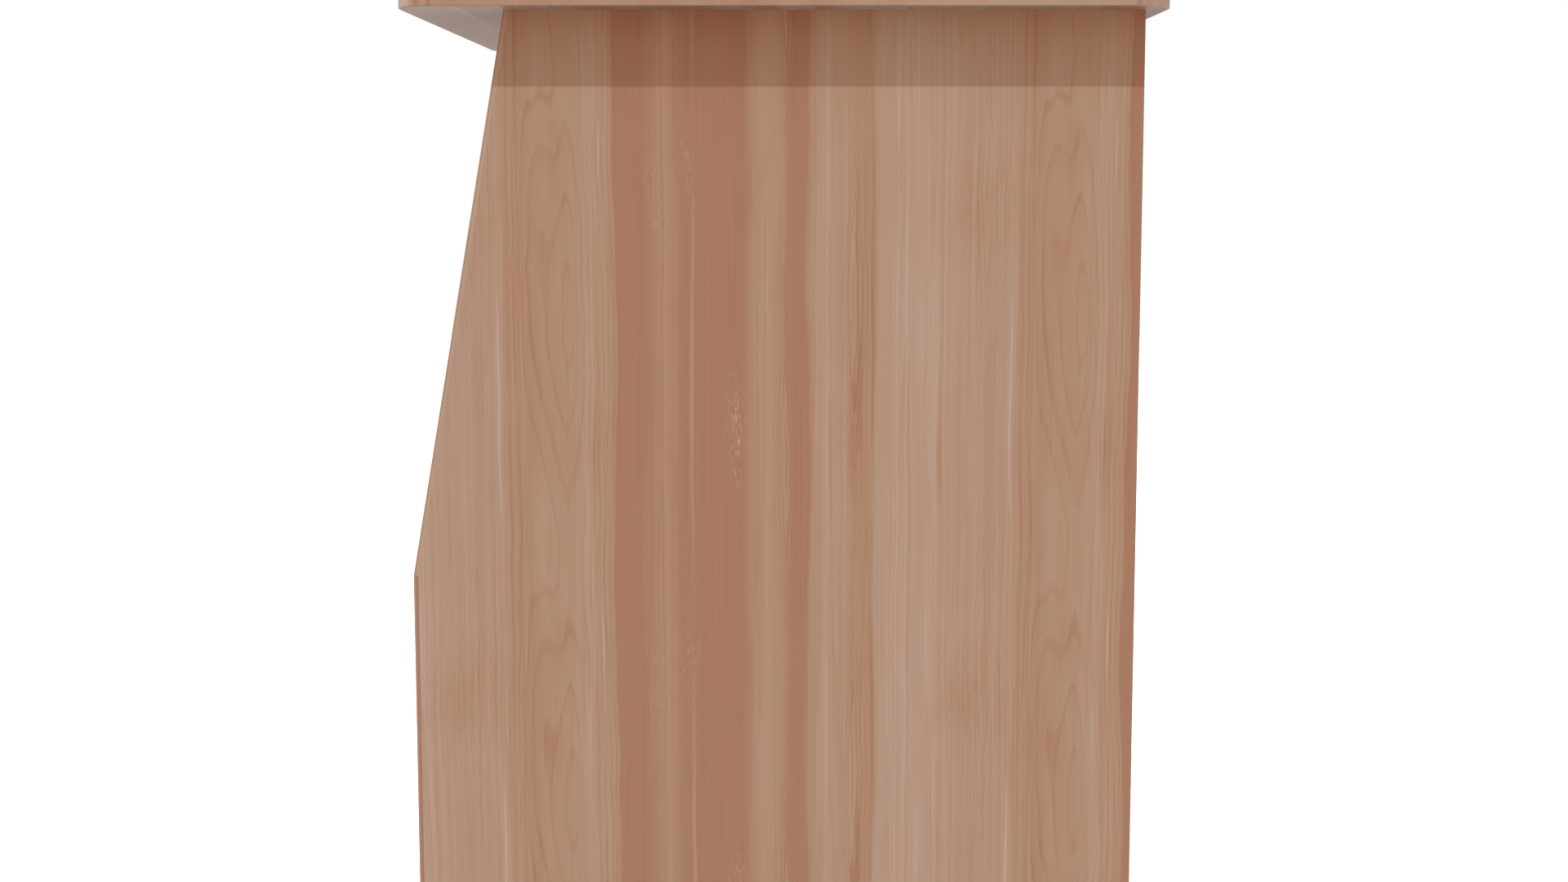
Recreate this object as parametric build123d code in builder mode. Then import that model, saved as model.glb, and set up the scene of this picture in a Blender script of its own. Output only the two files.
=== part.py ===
from build123d import *
import os
from math import cos, radians, sin, tan

os.makedirs("parts", exist_ok=True)

# A lectern podium: a laminate-board cabinet with a slanted front, an overhanging desk top,
# and a sloping reading board hinged over a shallow tray.
# Origin: on the floor under the middle of the desk top. +Z up, the audience is towards -Y,
# the speaker stands at +Y. Millimetres.

# ---- Driving dimensions ----
TOP_WIDTH = 620.0
TOP_DEPTH = 600.0
TOP_THICKNESS = 25.0
TOP_UNDERSIDE = 925.0
TOP_CORNER = 40.0
TOP_BAND = 2.0
TOP_ARRIS = 1.0

BOARD = 18.0
BAND = 1.0
BODY_WIDTH = 540.0
BODY_BOTTOM = 12.0
FRONT_OVERHANG = 81.0
REAR_OVERHANG = 18.0
SLANT = 10.0
SLANT_DROP = 447.3
LIPPING = 4.0
LIPPING_ROUND = 1.5
FRONT_RECESS = 6.0

PLINTH = 58.0
PLINTH_SETBACK = 18.0
SHELF_TOP = 690.0
SHELF_GAP = 1.5
TOP_RAIL = 60.0
DOOR_GAP = 3.0

READING_SLOPE = 14.0
READING_WIDTH = 532.0
READING_LOW_Z = 992.0
READING_LOW_Y = 236.0
HINGE_Y = -130.0
STRIP_DEPTH = 70.0
LEDGE_THICKNESS = 10.0
LEDGE_RISE = 16.0
LEDGE_ROUND = 4.0
TRAY_WIDTH = 520.0
TRAY_REAR_Y = 224.0
LID_CLEARANCE = 2.0

# ---- Derived places ----
TOP_SURFACE = TOP_UNDERSIDE + TOP_THICKNESS
REAR_Y = TOP_DEPTH / 2 - REAR_OVERHANG
FRONT_TOP_Y = -TOP_DEPTH / 2 + FRONT_OVERHANG
FRONT_LOW_Y = FRONT_TOP_Y - SLANT_DROP * tan(radians(SLANT))
KINK_Z = TOP_UNDERSIDE - SLANT_DROP
INSIDE = BODY_WIDTH / 2 - BOARD
PANEL_BACK = FRONT_RECESS + BOARD
BOTTOM_LOW = BODY_BOTTOM + PLINTH
BOTTOM_TOP = BOTTOM_LOW + BOARD
SHELF_LOW = SHELF_TOP - BOARD
RAIL_LOW = TOP_UNDERSIDE - TOP_RAIL
DOOR_HALF = INSIDE - DOOR_GAP
DOOR_LOW = BOTTOM_TOP + DOOR_GAP
DOOR_HIGH = SHELF_LOW - DOOR_GAP
DOOR_BACK_Y = REAR_Y - BOARD
TRAY_INSIDE = TRAY_WIDTH / 2 - BOARD
HINGE_Z = READING_LOW_Z + (READING_LOW_Y - HINGE_Y) * tan(radians(READING_SLOPE))
SLOPE_DIR = (0, cos(radians(READING_SLOPE)), -sin(radians(READING_SLOPE)))
SLOPE_UP = (0, sin(radians(READING_SLOPE)), cos(radians(READING_SLOPE)))
SLOPE = Plane(origin=(0, HINGE_Y, HINGE_Z), x_dir=(1, 0, 0), z_dir=SLOPE_UP)
READING_END = (READING_LOW_Y - HINGE_Y) / cos(radians(READING_SLOPE)) - LEDGE_THICKNESS
SLANT_INWARD = (0, cos(radians(SLANT)), -sin(radians(SLANT)))
SLANT_ALONG = Axis((0, 0, 0), (0, sin(radians(SLANT)), cos(radians(SLANT))))

# ---- Fasteners and hardware ----
CLEARANCE = 0.05
HOLE_EXTRA = 0.5
SCREW_R = 1.5
SCREW_HEAD_R = 2.6
SCREW_LENGTH = 14.0
SCREW_POINT = 3.0
PILOT_DEPTH = SCREW_LENGTH - 1.0
CROSS_LENGTH = SCREW_HEAD_R
CROSS_WIDTH = 0.5
CROSS_DEPTH = 0.75
SCREW_HOLE_R = SCREW_R + CLEARANCE
SINK_R = SCREW_HEAD_R + CLEARANCE
SINK_ANGLE = 90.0
BORE_R = SCREW_HEAD_R + 0.6
BORE_SUNK = 1.2

CAM_R = 7.5
CAM_HEIGHT = 12.0
CAM_SUNK = 0.3
CAM_REACH = 24.0
CAM_BORE_R = 2.8
CAM_SLOT = 8.0
CAM_SLOT_WIDTH = 1.6
BOLT_R = 2.5
BOLT_NECK_R = 1.8
BOLT_IN_SIDE = 11.0
BOLT_NECK_FROM = 18.0
BOLT_NECK_TO = 22.0
BOLT_END = 25.0
CAM_SLOT_DEPTH = 2.0
BOTTOM_CAM_Y = (-200.0, 200.0)
SHELF_CAM_Y = (-180.0, 210.0)
LOWER_PANEL_CAM_Z = (130.0, 420.0)
UPPER_PANEL_CAM_Z = (560.0, 850.0)

DOWEL_R = 4.0
DOWEL_IN_SIDE = 10.0
DOWEL_IN_BOARD = 20.0
DOWEL_CHAMFER = 1.0
BOTTOM_DOWEL_Y = 0.0
SHELF_DOWEL_Y = 20.0
TRAY_FRONT_DOWEL_RISE = (30.0, 100.0)
TRAY_RAIL_DOWEL_RISE = 11.0

BRACKET_LEG = 25.0
BRACKET_WIDTH = 20.0
BRACKET_THICK = 2.0
BRACKET_HOLE = 15.0
BODY_BRACKET_Y = (-120.0, 200.0)
TRAY_BRACKET_Y = (-120.0, 150.0)

PIN_R = 2.5
PIN_IN_SIDE = 8.0
PIN_OUT = 10.0
HOLE_PITCH = 32.0
HOLE_COUNT = 10
HOLE_FIRST_Z = 218.0
SHELF_HOLE = 5
ROW_Y = (-230.0, 200.0)
LOOSE_SHELF_FRONT_GAP = 4.0
LOOSE_SHELF_REAR_GAP = 24.0

HINGE_GAP = 3.0
HINGE_RISE = 3.5
LEAF_THICK = 1.2
LEAF_LENGTH = 60.0
LEAF_DEPTH = 16.0
KNUCKLE_R = 3.0
KNUCKLES = 5
PLATE_GAP = 0.3
KNUCKLE_GAP = 0.1
HINGE_PIN_R = 1.25
HINGE_SCREW_STEPS = (-1, 0, 1)
HINGE_SCREW_PITCH = 20.0
DOOR_HINGE_MARGIN = 90.0
LID_HINGE_X = 170.0

FOOT_X = 215.0
FOOT_Y = (-238.0, 200.0)
FOOT_PAD_R = 17.0
FOOT_PAD_NECK_R = 11.0
FOOT_PAD_RIM = 6.0
FOOT_PAD_HEIGHT = 10.0
FOOT_CHAMFER = 1.0
STEM_R = 4.0
STEM_LOW = 4.0
STEM_HIGH = 62.0
BLOCK_SIZE = 50.0
BLOCK_LOW = 25.0
INSERT_R = 6.5
INSERT_LENGTH = 15.0
INSERT_FLANGE_R = 9.0
INSERT_FLANGE = 1.5
STEM_SPACE_R = 4.6

LOCK_X = 215.0
LOCK_Z = 520.0
LOCK_FLANGE_R = 12.0
LOCK_FLANGE = 2.0
LOCK_BARREL_R = 9.4
LOCK_BARREL_IN = 6.0
PLUG_R = 6.0
PLUG_PROUD = 0.6
KEYWAY = (2.0, 7.0)
KEYWAY_DEPTH = 6.0
TAIL = 6.0
TAIL_LENGTH = 6.0
CAM_ARM = 32.0
CAM_ARM_WIDTH = 14.0
CAM_ARM_THICK = 2.5
CAM_ARM_OFFSET = 2.0
NUT_R = 14.0
HEXAGON = 6
NUT_THICK = 3.5
STRIKE_WIDTH = 40.0
STRIKE_PLATE = 33.0
STRIKE_LIP = 16.0
STRIKE_BEHIND_DOOR = 6.0
STRIKE_SCREW_BACK = 3.0
STRIKE_SCREW_SPREAD = 12.0
STRIKE_Y = DOOR_BACK_Y - STRIKE_BEHIND_DOOR

PULL_X = 205.0
PULL_Z = 420.0
PULL_WIDTH = 40.0
PULL_HEIGHT = 110.0
PULL_RIM = 5.0
PULL_FLANGE = 1.5
PULL_DEPTH = 11.5
PULL_WALL = 1.0

CATCH_X = 120.0
CATCH_SIZE = (46.0, 16.0, 14.0)
CATCH_PLATE = (36.0, 1.5, 12.0)
CATCH_GAP = 0.2
CATCH_FLOOR = 3.0
CATCH_ROUND = 2.0
CATCH_SCREW_SPREAD = 17.0

BUMPER_R = 4.0
BUMPER_HEIGHT = 1.9
BUMPER_FROM_HINGE = 60.0
BUMPER_FROM_END = 40.0

LEDGE_SCREW_X = (-190.0, 0.0, 190.0)
LEDGE_FLOOR = 6.0


def kink_point(inset):
    """Corner of the front outline, where upright turns to slanted, moved inwards."""
    return (FRONT_LOW_Y + inset, KINK_Z - inset * tan(radians(SLANT / 2)))


def slant_point(height, inset):
    """Point of the slanted front outline at a height, moved inwards."""
    run = (height - KINK_Z) * tan(radians(SLANT))
    return (FRONT_LOW_Y + run + inset / cos(radians(SLANT)), height)


def shifted(frame, x=0.0, y=0.0, z=0.0):
    """The frame moved along its own axes."""
    return Plane(frame.from_local_coords((x, y, z)), x_dir=frame.x_dir, z_dir=frame.z_dir)


def end_frames(points, wall, normal):
    """Frames at both ends of a board: x points into the wall, z out of the board's inner face."""
    return [
        Plane(origin=(side * wall, y, z), x_dir=(side, 0, 0), z_dir=normal)
        for side in (-1, 1)
        for y, z in points
    ]


def facing(frames, sign):
    """Frames turned so that z runs along the old x, times sign."""
    return [Plane(f.origin, x_dir=f.z_dir, z_dir=f.x_dir * sign) for f in frames]


def save(builder, name):
    """Label the finished piece and write it."""
    builder.part.label = name
    export_step(builder.part, "parts/" + name + ".step")


# ---- Places of the fasteners ----
DOWN = (0, 0, -1)
UP = (0, 0, 1)
INTO_BODY = (0, 1, 0)
TOWARDS_FRONT = (0, -1, 0)

bottom_cams = end_frames([(y, BOTTOM_LOW + BOARD / 2) for y in BOTTOM_CAM_Y], INSIDE, DOWN)
shelf_cams = end_frames([(y, SHELF_LOW + BOARD / 2) for y in SHELF_CAM_Y], INSIDE, DOWN)
panel_mid = FRONT_RECESS + BOARD / 2
lower_cams = end_frames([(FRONT_LOW_Y + panel_mid, z) for z in LOWER_PANEL_CAM_Z], INSIDE, INTO_BODY)
upper_cams = end_frames([slant_point(z, panel_mid) for z in UPPER_PANEL_CAM_Z], INSIDE, SLANT_INWARD)
rail_cams = end_frames([(REAR_Y - BOARD / 2, RAIL_LOW + TOP_RAIL / 2)], INSIDE, TOWARDS_FRONT)
body_cams = bottom_cams + shelf_cams + lower_cams + upper_cams + rail_cams

bottom_dowels = end_frames([(BOTTOM_DOWEL_Y, BOTTOM_LOW + BOARD / 2)], INSIDE, DOWN)
shelf_dowels = end_frames([(SHELF_DOWEL_Y, SHELF_LOW + BOARD / 2)], INSIDE, DOWN)
plinth_y = REAR_Y - PLINTH_SETBACK - BOARD / 2
plinth_dowels = end_frames([(plinth_y, BODY_BOTTOM + PLINTH / 2)], INSIDE, DOWN)
body_dowels = bottom_dowels + shelf_dowels + plinth_dowels
tray_front_dowels = end_frames(
    [slant_point(TOP_SURFACE + rise, panel_mid) for rise in TRAY_FRONT_DOWEL_RISE],
    TRAY_INSIDE,
    SLANT_INWARD,
)
tray_rail_dowels = end_frames(
    [(TRAY_REAR_Y - BOARD / 2, TOP_SURFACE + TRAY_RAIL_DOWEL_RISE)],
    TRAY_INSIDE,
    UP,
)

body_brackets = [
    Plane(origin=(side * INSIDE, y, TOP_UNDERSIDE), x_dir=(-side, 0, 0), z_dir=DOWN)
    for side in (-1, 1)
    for y in BODY_BRACKET_Y
]
tray_brackets = [
    Plane(origin=(side * TRAY_INSIDE, y, TOP_SURFACE), x_dir=(-side, 0, 0), z_dir=UP)
    for side in (-1, 1)
    for y in TRAY_BRACKET_Y
]

door_hinges = [
    Plane(origin=(-INSIDE + HINGE_GAP / 2, REAR_Y + HINGE_RISE, z), x_dir=(1, 0, 0), z_dir=UP)
    for z in (DOOR_LOW + DOOR_HINGE_MARGIN, DOOR_HIGH - DOOR_HINGE_MARGIN)
]
lid_hinges = [
    Plane(origin=SLOPE.from_local_coords((x, 0, HINGE_RISE)), x_dir=SLOPE_DIR, z_dir=(1, 0, 0))
    for x in (-LID_HINGE_X, LID_HINGE_X)
]


def leaf_screws(hinges, side, depth):
    """Screw frames of a hinge leaf, at a depth from the gap's middle; z points out of the head."""
    frames = []
    for hinge in hinges:
        for step in HINGE_SCREW_STEPS:
            place = (side * depth, -HINGE_RISE - BOARD / 2, step * HINGE_SCREW_PITCH)
            origin = hinge.from_local_coords(place)
            frames.append(Plane(origin, x_dir=hinge.z_dir, z_dir=hinge.x_dir * -side))
    return frames


def bracket_screws(brackets, leg, level):
    """Screw frames of the brackets' legs: leg 'wall' or 'top', at a level above its back."""
    frames = []
    for frame in brackets:
        if leg == "wall":
            origin = frame.from_local_coords((level, 0, BRACKET_HOLE))
            frames.append(Plane(origin, x_dir=frame.y_dir, z_dir=frame.x_dir))
        else:
            origin = frame.from_local_coords((BRACKET_HOLE, 0, level))
            frames.append(Plane(origin, x_dir=frame.x_dir, z_dir=frame.z_dir))
    return frames


strike_y = STRIKE_Y - STRIKE_PLATE / 2 - STRIKE_SCREW_BACK
strike_screws = [
    Plane(origin=(INSIDE - BRACKET_THICK, strike_y, LOCK_Z + dz), x_dir=(0, 1, 0), z_dir=(-1, 0, 0))
    for dz in (-STRIKE_SCREW_SPREAD, STRIKE_SCREW_SPREAD)
]
catch_y = DOOR_BACK_Y - CATCH_PLATE[1] - CATCH_GAP - CATCH_SIZE[1] / 2
catch_screws = [
    Plane(origin=(CATCH_X + dx, catch_y, SHELF_LOW - CATCH_FLOOR), x_dir=(1, 0, 0), z_dir=DOWN)
    for dx in (-CATCH_SCREW_SPREAD, CATCH_SCREW_SPREAD)
]
plate_z = SHELF_LOW - CATCH_SIZE[2] / 2 - DOOR_GAP
plate_screws = [
    Plane(origin=(CATCH_X, DOOR_BACK_Y - CATCH_PLATE[1], plate_z), x_dir=(1, 0, 0), z_dir=(0, -1, 0))
]
ledge_screws = [
    Plane(
        SLOPE.from_local_coords((x, READING_END + LEDGE_THICKNESS - LEDGE_FLOOR, -BOARD / 2)),
        x_dir=(1, 0, 0),
        z_dir=SLOPE_DIR,
    )
    for x in LEDGE_SCREW_X
]

# ---- Side panels ----
with BuildPart() as side_blank:
    with BuildSketch(Plane.YZ.offset(INSIDE)):
        with BuildLine():
            Polyline(
                (FRONT_LOW_Y + LIPPING, BODY_BOTTOM),
                (REAR_Y - BAND, BODY_BOTTOM),
                (REAR_Y - BAND, TOP_UNDERSIDE),
                slant_point(TOP_UNDERSIDE, LIPPING),
                kink_point(LIPPING),
                close=True,
            )
        make_face()
    extrude(amount=BOARD)
    # Holes for the cam bolts and dowels that come from the boards between the sides.
    with Locations(*[f for f in facing(body_cams, -1) if f.origin.X > 0]):
        Hole(BOLT_R + CLEARANCE, depth=BOLT_IN_SIDE + HOLE_EXTRA)
    with Locations(*[f for f in facing(body_dowels, -1) if f.origin.X > 0]):
        Hole(DOWEL_R + CLEARANCE, depth=DOWEL_IN_SIDE + HOLE_EXTRA)
    with Locations(*[f for f in bracket_screws(body_brackets, "wall", 0) if f.origin.X > 0]):
        Hole(SCREW_HOLE_R, depth=PILOT_DEPTH)
    # Two rows of holes for the adjustable shelf.
    for row in ROW_Y:
        row_middle = HOLE_FIRST_Z + HOLE_PITCH * (HOLE_COUNT - 1) / 2
        with Locations(Plane(origin=(INSIDE, row, row_middle), x_dir=(0, 1, 0), z_dir=(-1, 0, 0))):
            with GridLocations(1, HOLE_PITCH, 1, HOLE_COUNT):
                Hole(PIN_R + CLEARANCE, depth=PIN_IN_SIDE + 2 * HOLE_EXTRA)

with BuildPart() as side_panel_right:
    add(side_blank.part)
    with Locations(*[shifted(f, z=-BRACKET_THICK) for f in strike_screws]):
        Hole(SCREW_HOLE_R, depth=PILOT_DEPTH)
save(side_panel_right, "side_panel_right")

with BuildPart() as side_panel_left:
    mirror(side_blank.part, about=Plane.YZ)
    with Locations(*leaf_screws(door_hinges, -1, HINGE_GAP / 2)):
        Hole(SCREW_HOLE_R, depth=PILOT_DEPTH)
save(side_panel_left, "side_panel_left")

# ---- Solid lippings on the front edges of the sides, mitred where the front turns ----
with BuildPart() as front_lipping_lower_right:
    with BuildSketch(Plane.YZ.offset(INSIDE)):
        with BuildLine():
            Polyline(
                (FRONT_LOW_Y, BODY_BOTTOM),
                (FRONT_LOW_Y + LIPPING, BODY_BOTTOM),
                kink_point(LIPPING),
                kink_point(0),
                close=True,
            )
        make_face()
    extrude(amount=BOARD)
    fillet(front_lipping_lower_right.edges().filter_by(Axis.Z).group_by(Axis.Y)[0], LIPPING_ROUND)
save(front_lipping_lower_right, "front_lipping_lower_right")

with BuildPart() as front_lipping_lower_left:
    mirror(front_lipping_lower_right.part, about=Plane.YZ)
save(front_lipping_lower_left, "front_lipping_lower_left")

with BuildPart() as front_lipping_upper_right:
    with BuildSketch(Plane.YZ.offset(INSIDE)):
        with BuildLine():
            Polyline(
                kink_point(0),
                kink_point(LIPPING),
                slant_point(TOP_UNDERSIDE, LIPPING),
                slant_point(TOP_UNDERSIDE, 0),
                close=True,
            )
        make_face()
    extrude(amount=BOARD)
    fillet(front_lipping_upper_right.edges().filter_by(SLANT_ALONG).group_by(Axis.Y)[0], LIPPING_ROUND)
save(front_lipping_upper_right, "front_lipping_upper_right")

with BuildPart() as front_lipping_upper_left:
    mirror(front_lipping_upper_right.part, about=Plane.YZ)
save(front_lipping_upper_left, "front_lipping_upper_left")

with BuildPart() as side_rear_edge_bands:
    band_middle = (BODY_BOTTOM + TOP_UNDERSIDE) / 2
    with Locations(
        (-INSIDE - BOARD / 2, REAR_Y - BAND / 2, band_middle),
        (INSIDE + BOARD / 2, REAR_Y - BAND / 2, band_middle),
    ):
        Box(BOARD, BAND, TOP_UNDERSIDE - BODY_BOTTOM)
save(side_rear_edge_bands, "side_rear_edge_bands")

# ---- Front panels, set back between the sides ----
with BuildPart() as front_panel_lower:
    with BuildSketch(Plane.YZ.offset(-INSIDE)):
        with BuildLine():
            Polyline(
                (FRONT_LOW_Y + FRONT_RECESS, BODY_BOTTOM),
                (FRONT_LOW_Y + PANEL_BACK, BODY_BOTTOM),
                kink_point(PANEL_BACK),
                kink_point(FRONT_RECESS),
                close=True,
            )
        make_face()
    extrude(amount=2 * INSIDE)
    with Locations(*[shifted(f, x=-CAM_REACH, z=BOARD / 2) for f in lower_cams]):
        Hole(CAM_R + CLEARANCE, depth=CAM_HEIGHT + 2 * CAM_SUNK)
    with Locations(*facing(lower_cams, 1)):
        Hole(CAM_BORE_R, depth=CAM_REACH)
save(front_panel_lower, "front_panel_lower")

with BuildPart() as front_panel_upper:
    with BuildSketch(Plane.YZ.offset(-INSIDE)):
        with BuildLine():
            Polyline(
                kink_point(FRONT_RECESS),
                kink_point(PANEL_BACK),
                slant_point(TOP_UNDERSIDE, PANEL_BACK),
                slant_point(TOP_UNDERSIDE, FRONT_RECESS),
                close=True,
            )
        make_face()
    extrude(amount=2 * INSIDE)
    with Locations(*[shifted(f, x=-CAM_REACH, z=BOARD / 2) for f in upper_cams]):
        Hole(CAM_R + CLEARANCE, depth=CAM_HEIGHT + 2 * CAM_SUNK)
    with Locations(*facing(upper_cams, 1)):
        Hole(CAM_BORE_R, depth=CAM_REACH)
save(front_panel_upper, "front_panel_upper")

# ---- Horizontal boards ----
with BuildPart() as bottom_panel:
    bottom_front = FRONT_LOW_Y + PANEL_BACK
    with BuildSketch(Plane.XY.offset(BOTTOM_LOW)):
        with Locations((0, (bottom_front + REAR_Y - BAND) / 2)):
            Rectangle(2 * INSIDE, REAR_Y - BAND - bottom_front)
    extrude(amount=BOARD)
    with Locations(*[shifted(f, x=-CAM_REACH, z=BOARD / 2) for f in bottom_cams]):
        Hole(CAM_R + CLEARANCE, depth=CAM_HEIGHT + 2 * CAM_SUNK)
    with Locations(*facing(bottom_cams, 1)):
        Hole(CAM_BORE_R, depth=CAM_REACH)
    with Locations(*facing(bottom_dowels, 1)):
        Hole(DOWEL_R + CLEARANCE, depth=DOWEL_IN_BOARD + HOLE_EXTRA)
save(bottom_panel, "bottom_panel")

with BuildPart() as fixed_shelf:
    shelf_front = slant_point(SHELF_TOP, PANEL_BACK)[0] + BAND
    with BuildSketch(Plane.XY.offset(SHELF_LOW)):
        with Locations((0, (shelf_front + REAR_Y - BAND) / 2)):
            Rectangle(2 * INSIDE, REAR_Y - BAND - shelf_front)
    extrude(amount=BOARD)
    with Locations(*[shifted(f, x=-CAM_REACH, z=BOARD / 2) for f in shelf_cams]):
        Hole(CAM_R + CLEARANCE, depth=CAM_HEIGHT + 2 * CAM_SUNK)
    with Locations(*facing(shelf_cams, 1)):
        Hole(CAM_BORE_R, depth=CAM_REACH)
    with Locations(*facing(shelf_dowels, 1)):
        Hole(DOWEL_R + CLEARANCE, depth=DOWEL_IN_BOARD + HOLE_EXTRA)
    with Locations(*[shifted(f, z=-CATCH_FLOOR) for f in catch_screws]):
        Hole(SCREW_HOLE_R, depth=PILOT_DEPTH)
save(fixed_shelf, "fixed_shelf")

LOOSE_FRONT = FRONT_LOW_Y + PANEL_BACK + LOOSE_SHELF_FRONT_GAP
LOOSE_REAR = DOOR_BACK_Y - LOOSE_SHELF_REAR_GAP
LOOSE_LOW = HOLE_FIRST_Z + HOLE_PITCH * SHELF_HOLE + PIN_R
with BuildPart() as adjustable_shelf:
    with BuildSketch(Plane.XY.offset(LOOSE_LOW)):
        with Locations((0, (LOOSE_FRONT + LOOSE_REAR - BAND) / 2)):
            Rectangle(2 * (INSIDE - SHELF_GAP), LOOSE_REAR - BAND - LOOSE_FRONT)
    extrude(amount=BOARD)
save(adjustable_shelf, "adjustable_shelf")

with BuildPart() as shelf_edge_bands:
    with Locations(
        (0, REAR_Y - BAND / 2, BOTTOM_LOW + BOARD / 2),
        (0, REAR_Y - BAND / 2, SHELF_LOW + BOARD / 2),
    ):
        Box(2 * INSIDE, BAND, BOARD)
    with Locations((0, LOOSE_REAR - BAND / 2, LOOSE_LOW + BOARD / 2)):
        Box(2 * (INSIDE - SHELF_GAP), BAND, BOARD)
save(shelf_edge_bands, "shelf_edge_bands")

with BuildPart() as shelf_pins:
    for side in (-1, 1):
        for row in ROW_Y:
            seat = (side * INSIDE, row, HOLE_FIRST_Z + HOLE_PITCH * SHELF_HOLE)
            with BuildSketch(Plane(origin=seat, x_dir=(0, 1, 0), z_dir=(side, 0, 0)).offset(-PIN_OUT)):
                Circle(PIN_R)
            extrude(amount=PIN_OUT + PIN_IN_SIDE)
save(shelf_pins, "shelf_pins")

with BuildPart() as rear_plinth:
    with BuildSketch(Plane.XY.offset(BODY_BOTTOM)):
        with Locations((0, plinth_y)):
            Rectangle(2 * INSIDE, BOARD)
    extrude(amount=PLINTH)
    with Locations(*facing(plinth_dowels, 1)):
        Hole(DOWEL_R + CLEARANCE, depth=DOWEL_IN_BOARD + HOLE_EXTRA)
save(rear_plinth, "rear_plinth")

with BuildPart() as top_rail:
    with BuildSketch(Plane.XY.offset(RAIL_LOW)):
        with Locations((0, REAR_Y - BOARD / 2)):
            Rectangle(2 * INSIDE, BOARD)
    extrude(amount=TOP_RAIL)
    with Locations(*[shifted(f, x=-CAM_REACH, z=BOARD / 2) for f in rail_cams]):
        Hole(CAM_R + CLEARANCE, depth=CAM_HEIGHT + 2 * CAM_SUNK)
    with Locations(*facing(rail_cams, 1)):
        Hole(CAM_BORE_R, depth=CAM_REACH)
save(top_rail, "top_rail")

# ---- Desk top: a core board inside a thick plastic edge band ----
with BuildPart() as desk_top:
    with BuildSketch(Plane.XY.offset(TOP_UNDERSIDE)):
        RectangleRounded(TOP_WIDTH - 2 * TOP_BAND, TOP_DEPTH - 2 * TOP_BAND, TOP_CORNER - TOP_BAND)
    extrude(amount=TOP_THICKNESS)
    with Locations(*bracket_screws(body_brackets + tray_brackets, "top", 0)):
        Hole(SCREW_HOLE_R, depth=PILOT_DEPTH)
save(desk_top, "desk_top")

with BuildPart() as desk_top_edge_band:
    with BuildSketch(Plane.XY.offset(TOP_UNDERSIDE)):
        RectangleRounded(TOP_WIDTH, TOP_DEPTH, TOP_CORNER)
    extrude(amount=TOP_THICKNESS)
    rims = desk_top_edge_band.faces().filter_by(Axis.Z).edges()
    fillet(rims, TOP_ARRIS)
    with BuildSketch(Plane.XY.offset(TOP_UNDERSIDE)):
        RectangleRounded(TOP_WIDTH - 2 * TOP_BAND, TOP_DEPTH - 2 * TOP_BAND, TOP_CORNER - TOP_BAND)
    extrude(amount=TOP_THICKNESS, mode=Mode.SUBTRACT)
save(desk_top_edge_band, "desk_top_edge_band")

# ---- Tray under the reading board: two cheeks, a front board and a low rear rail ----
ROOF = READING_LOW_Z + TOP_DEPTH / 2
with BuildPart() as tray_cheek_right:
    with BuildSketch(Plane.YZ.offset(TRAY_INSIDE)):
        with BuildLine():
            Polyline(
                slant_point(TOP_SURFACE, 0),
                (TRAY_REAR_Y, TOP_SURFACE),
                (TRAY_REAR_Y, ROOF),
                slant_point(ROOF, 0),
                close=True,
            )
        make_face()
    extrude(amount=BOARD)
    split(bisect_by=SLOPE.offset(-BOARD), keep=Keep.BOTTOM)
    # The lid's part of the top edge lies a little lower, for the bumpers.
    with BuildSketch(SLOPE.offset(-BOARD - LID_CLEARANCE)):
        with Locations((TRAY_INSIDE + BOARD / 2, READING_END)):
            Rectangle(2 * BOARD, 2 * READING_END)
    extrude(amount=2 * LID_CLEARANCE, mode=Mode.SUBTRACT)
    with Locations(*[f for f in facing(tray_front_dowels + tray_rail_dowels, -1) if f.origin.X > 0]):
        Hole(DOWEL_R + CLEARANCE, depth=DOWEL_IN_SIDE + HOLE_EXTRA)
    with Locations(*[f for f in bracket_screws(tray_brackets, "wall", 0) if f.origin.X > 0]):
        Hole(SCREW_HOLE_R, depth=PILOT_DEPTH)
save(tray_cheek_right, "tray_cheek_right")

with BuildPart() as tray_cheek_left:
    mirror(tray_cheek_right.part, about=Plane.YZ)
save(tray_cheek_left, "tray_cheek_left")

with BuildPart() as tray_front:
    with BuildSketch(Plane.YZ.offset(-TRAY_INSIDE)):
        with BuildLine():
            Polyline(
                slant_point(TOP_SURFACE, FRONT_RECESS),
                slant_point(TOP_SURFACE, PANEL_BACK),
                slant_point(ROOF, PANEL_BACK),
                slant_point(ROOF, FRONT_RECESS),
                close=True,
            )
        make_face()
    extrude(amount=2 * TRAY_INSIDE)
    split(bisect_by=SLOPE.offset(-BOARD), keep=Keep.BOTTOM)
    with Locations(*facing(tray_front_dowels, 1)):
        Hole(DOWEL_R + CLEARANCE, depth=DOWEL_IN_BOARD + HOLE_EXTRA)
save(tray_front, "tray_front")

with BuildPart() as tray_rail:
    with BuildSketch(Plane.XY.offset(TOP_SURFACE)):
        with Locations((0, TRAY_REAR_Y - BOARD / 2)):
            Rectangle(2 * TRAY_INSIDE, BOARD)
    extrude(amount=READING_LOW_Z - TOP_SURFACE)
    split(bisect_by=SLOPE.offset(-BOARD - LID_CLEARANCE), keep=Keep.BOTTOM)
    with Locations(*facing(tray_rail_dowels, 1)):
        Hole(DOWEL_R + CLEARANCE, depth=DOWEL_IN_BOARD + HOLE_EXTRA)
save(tray_rail, "tray_rail")

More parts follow.
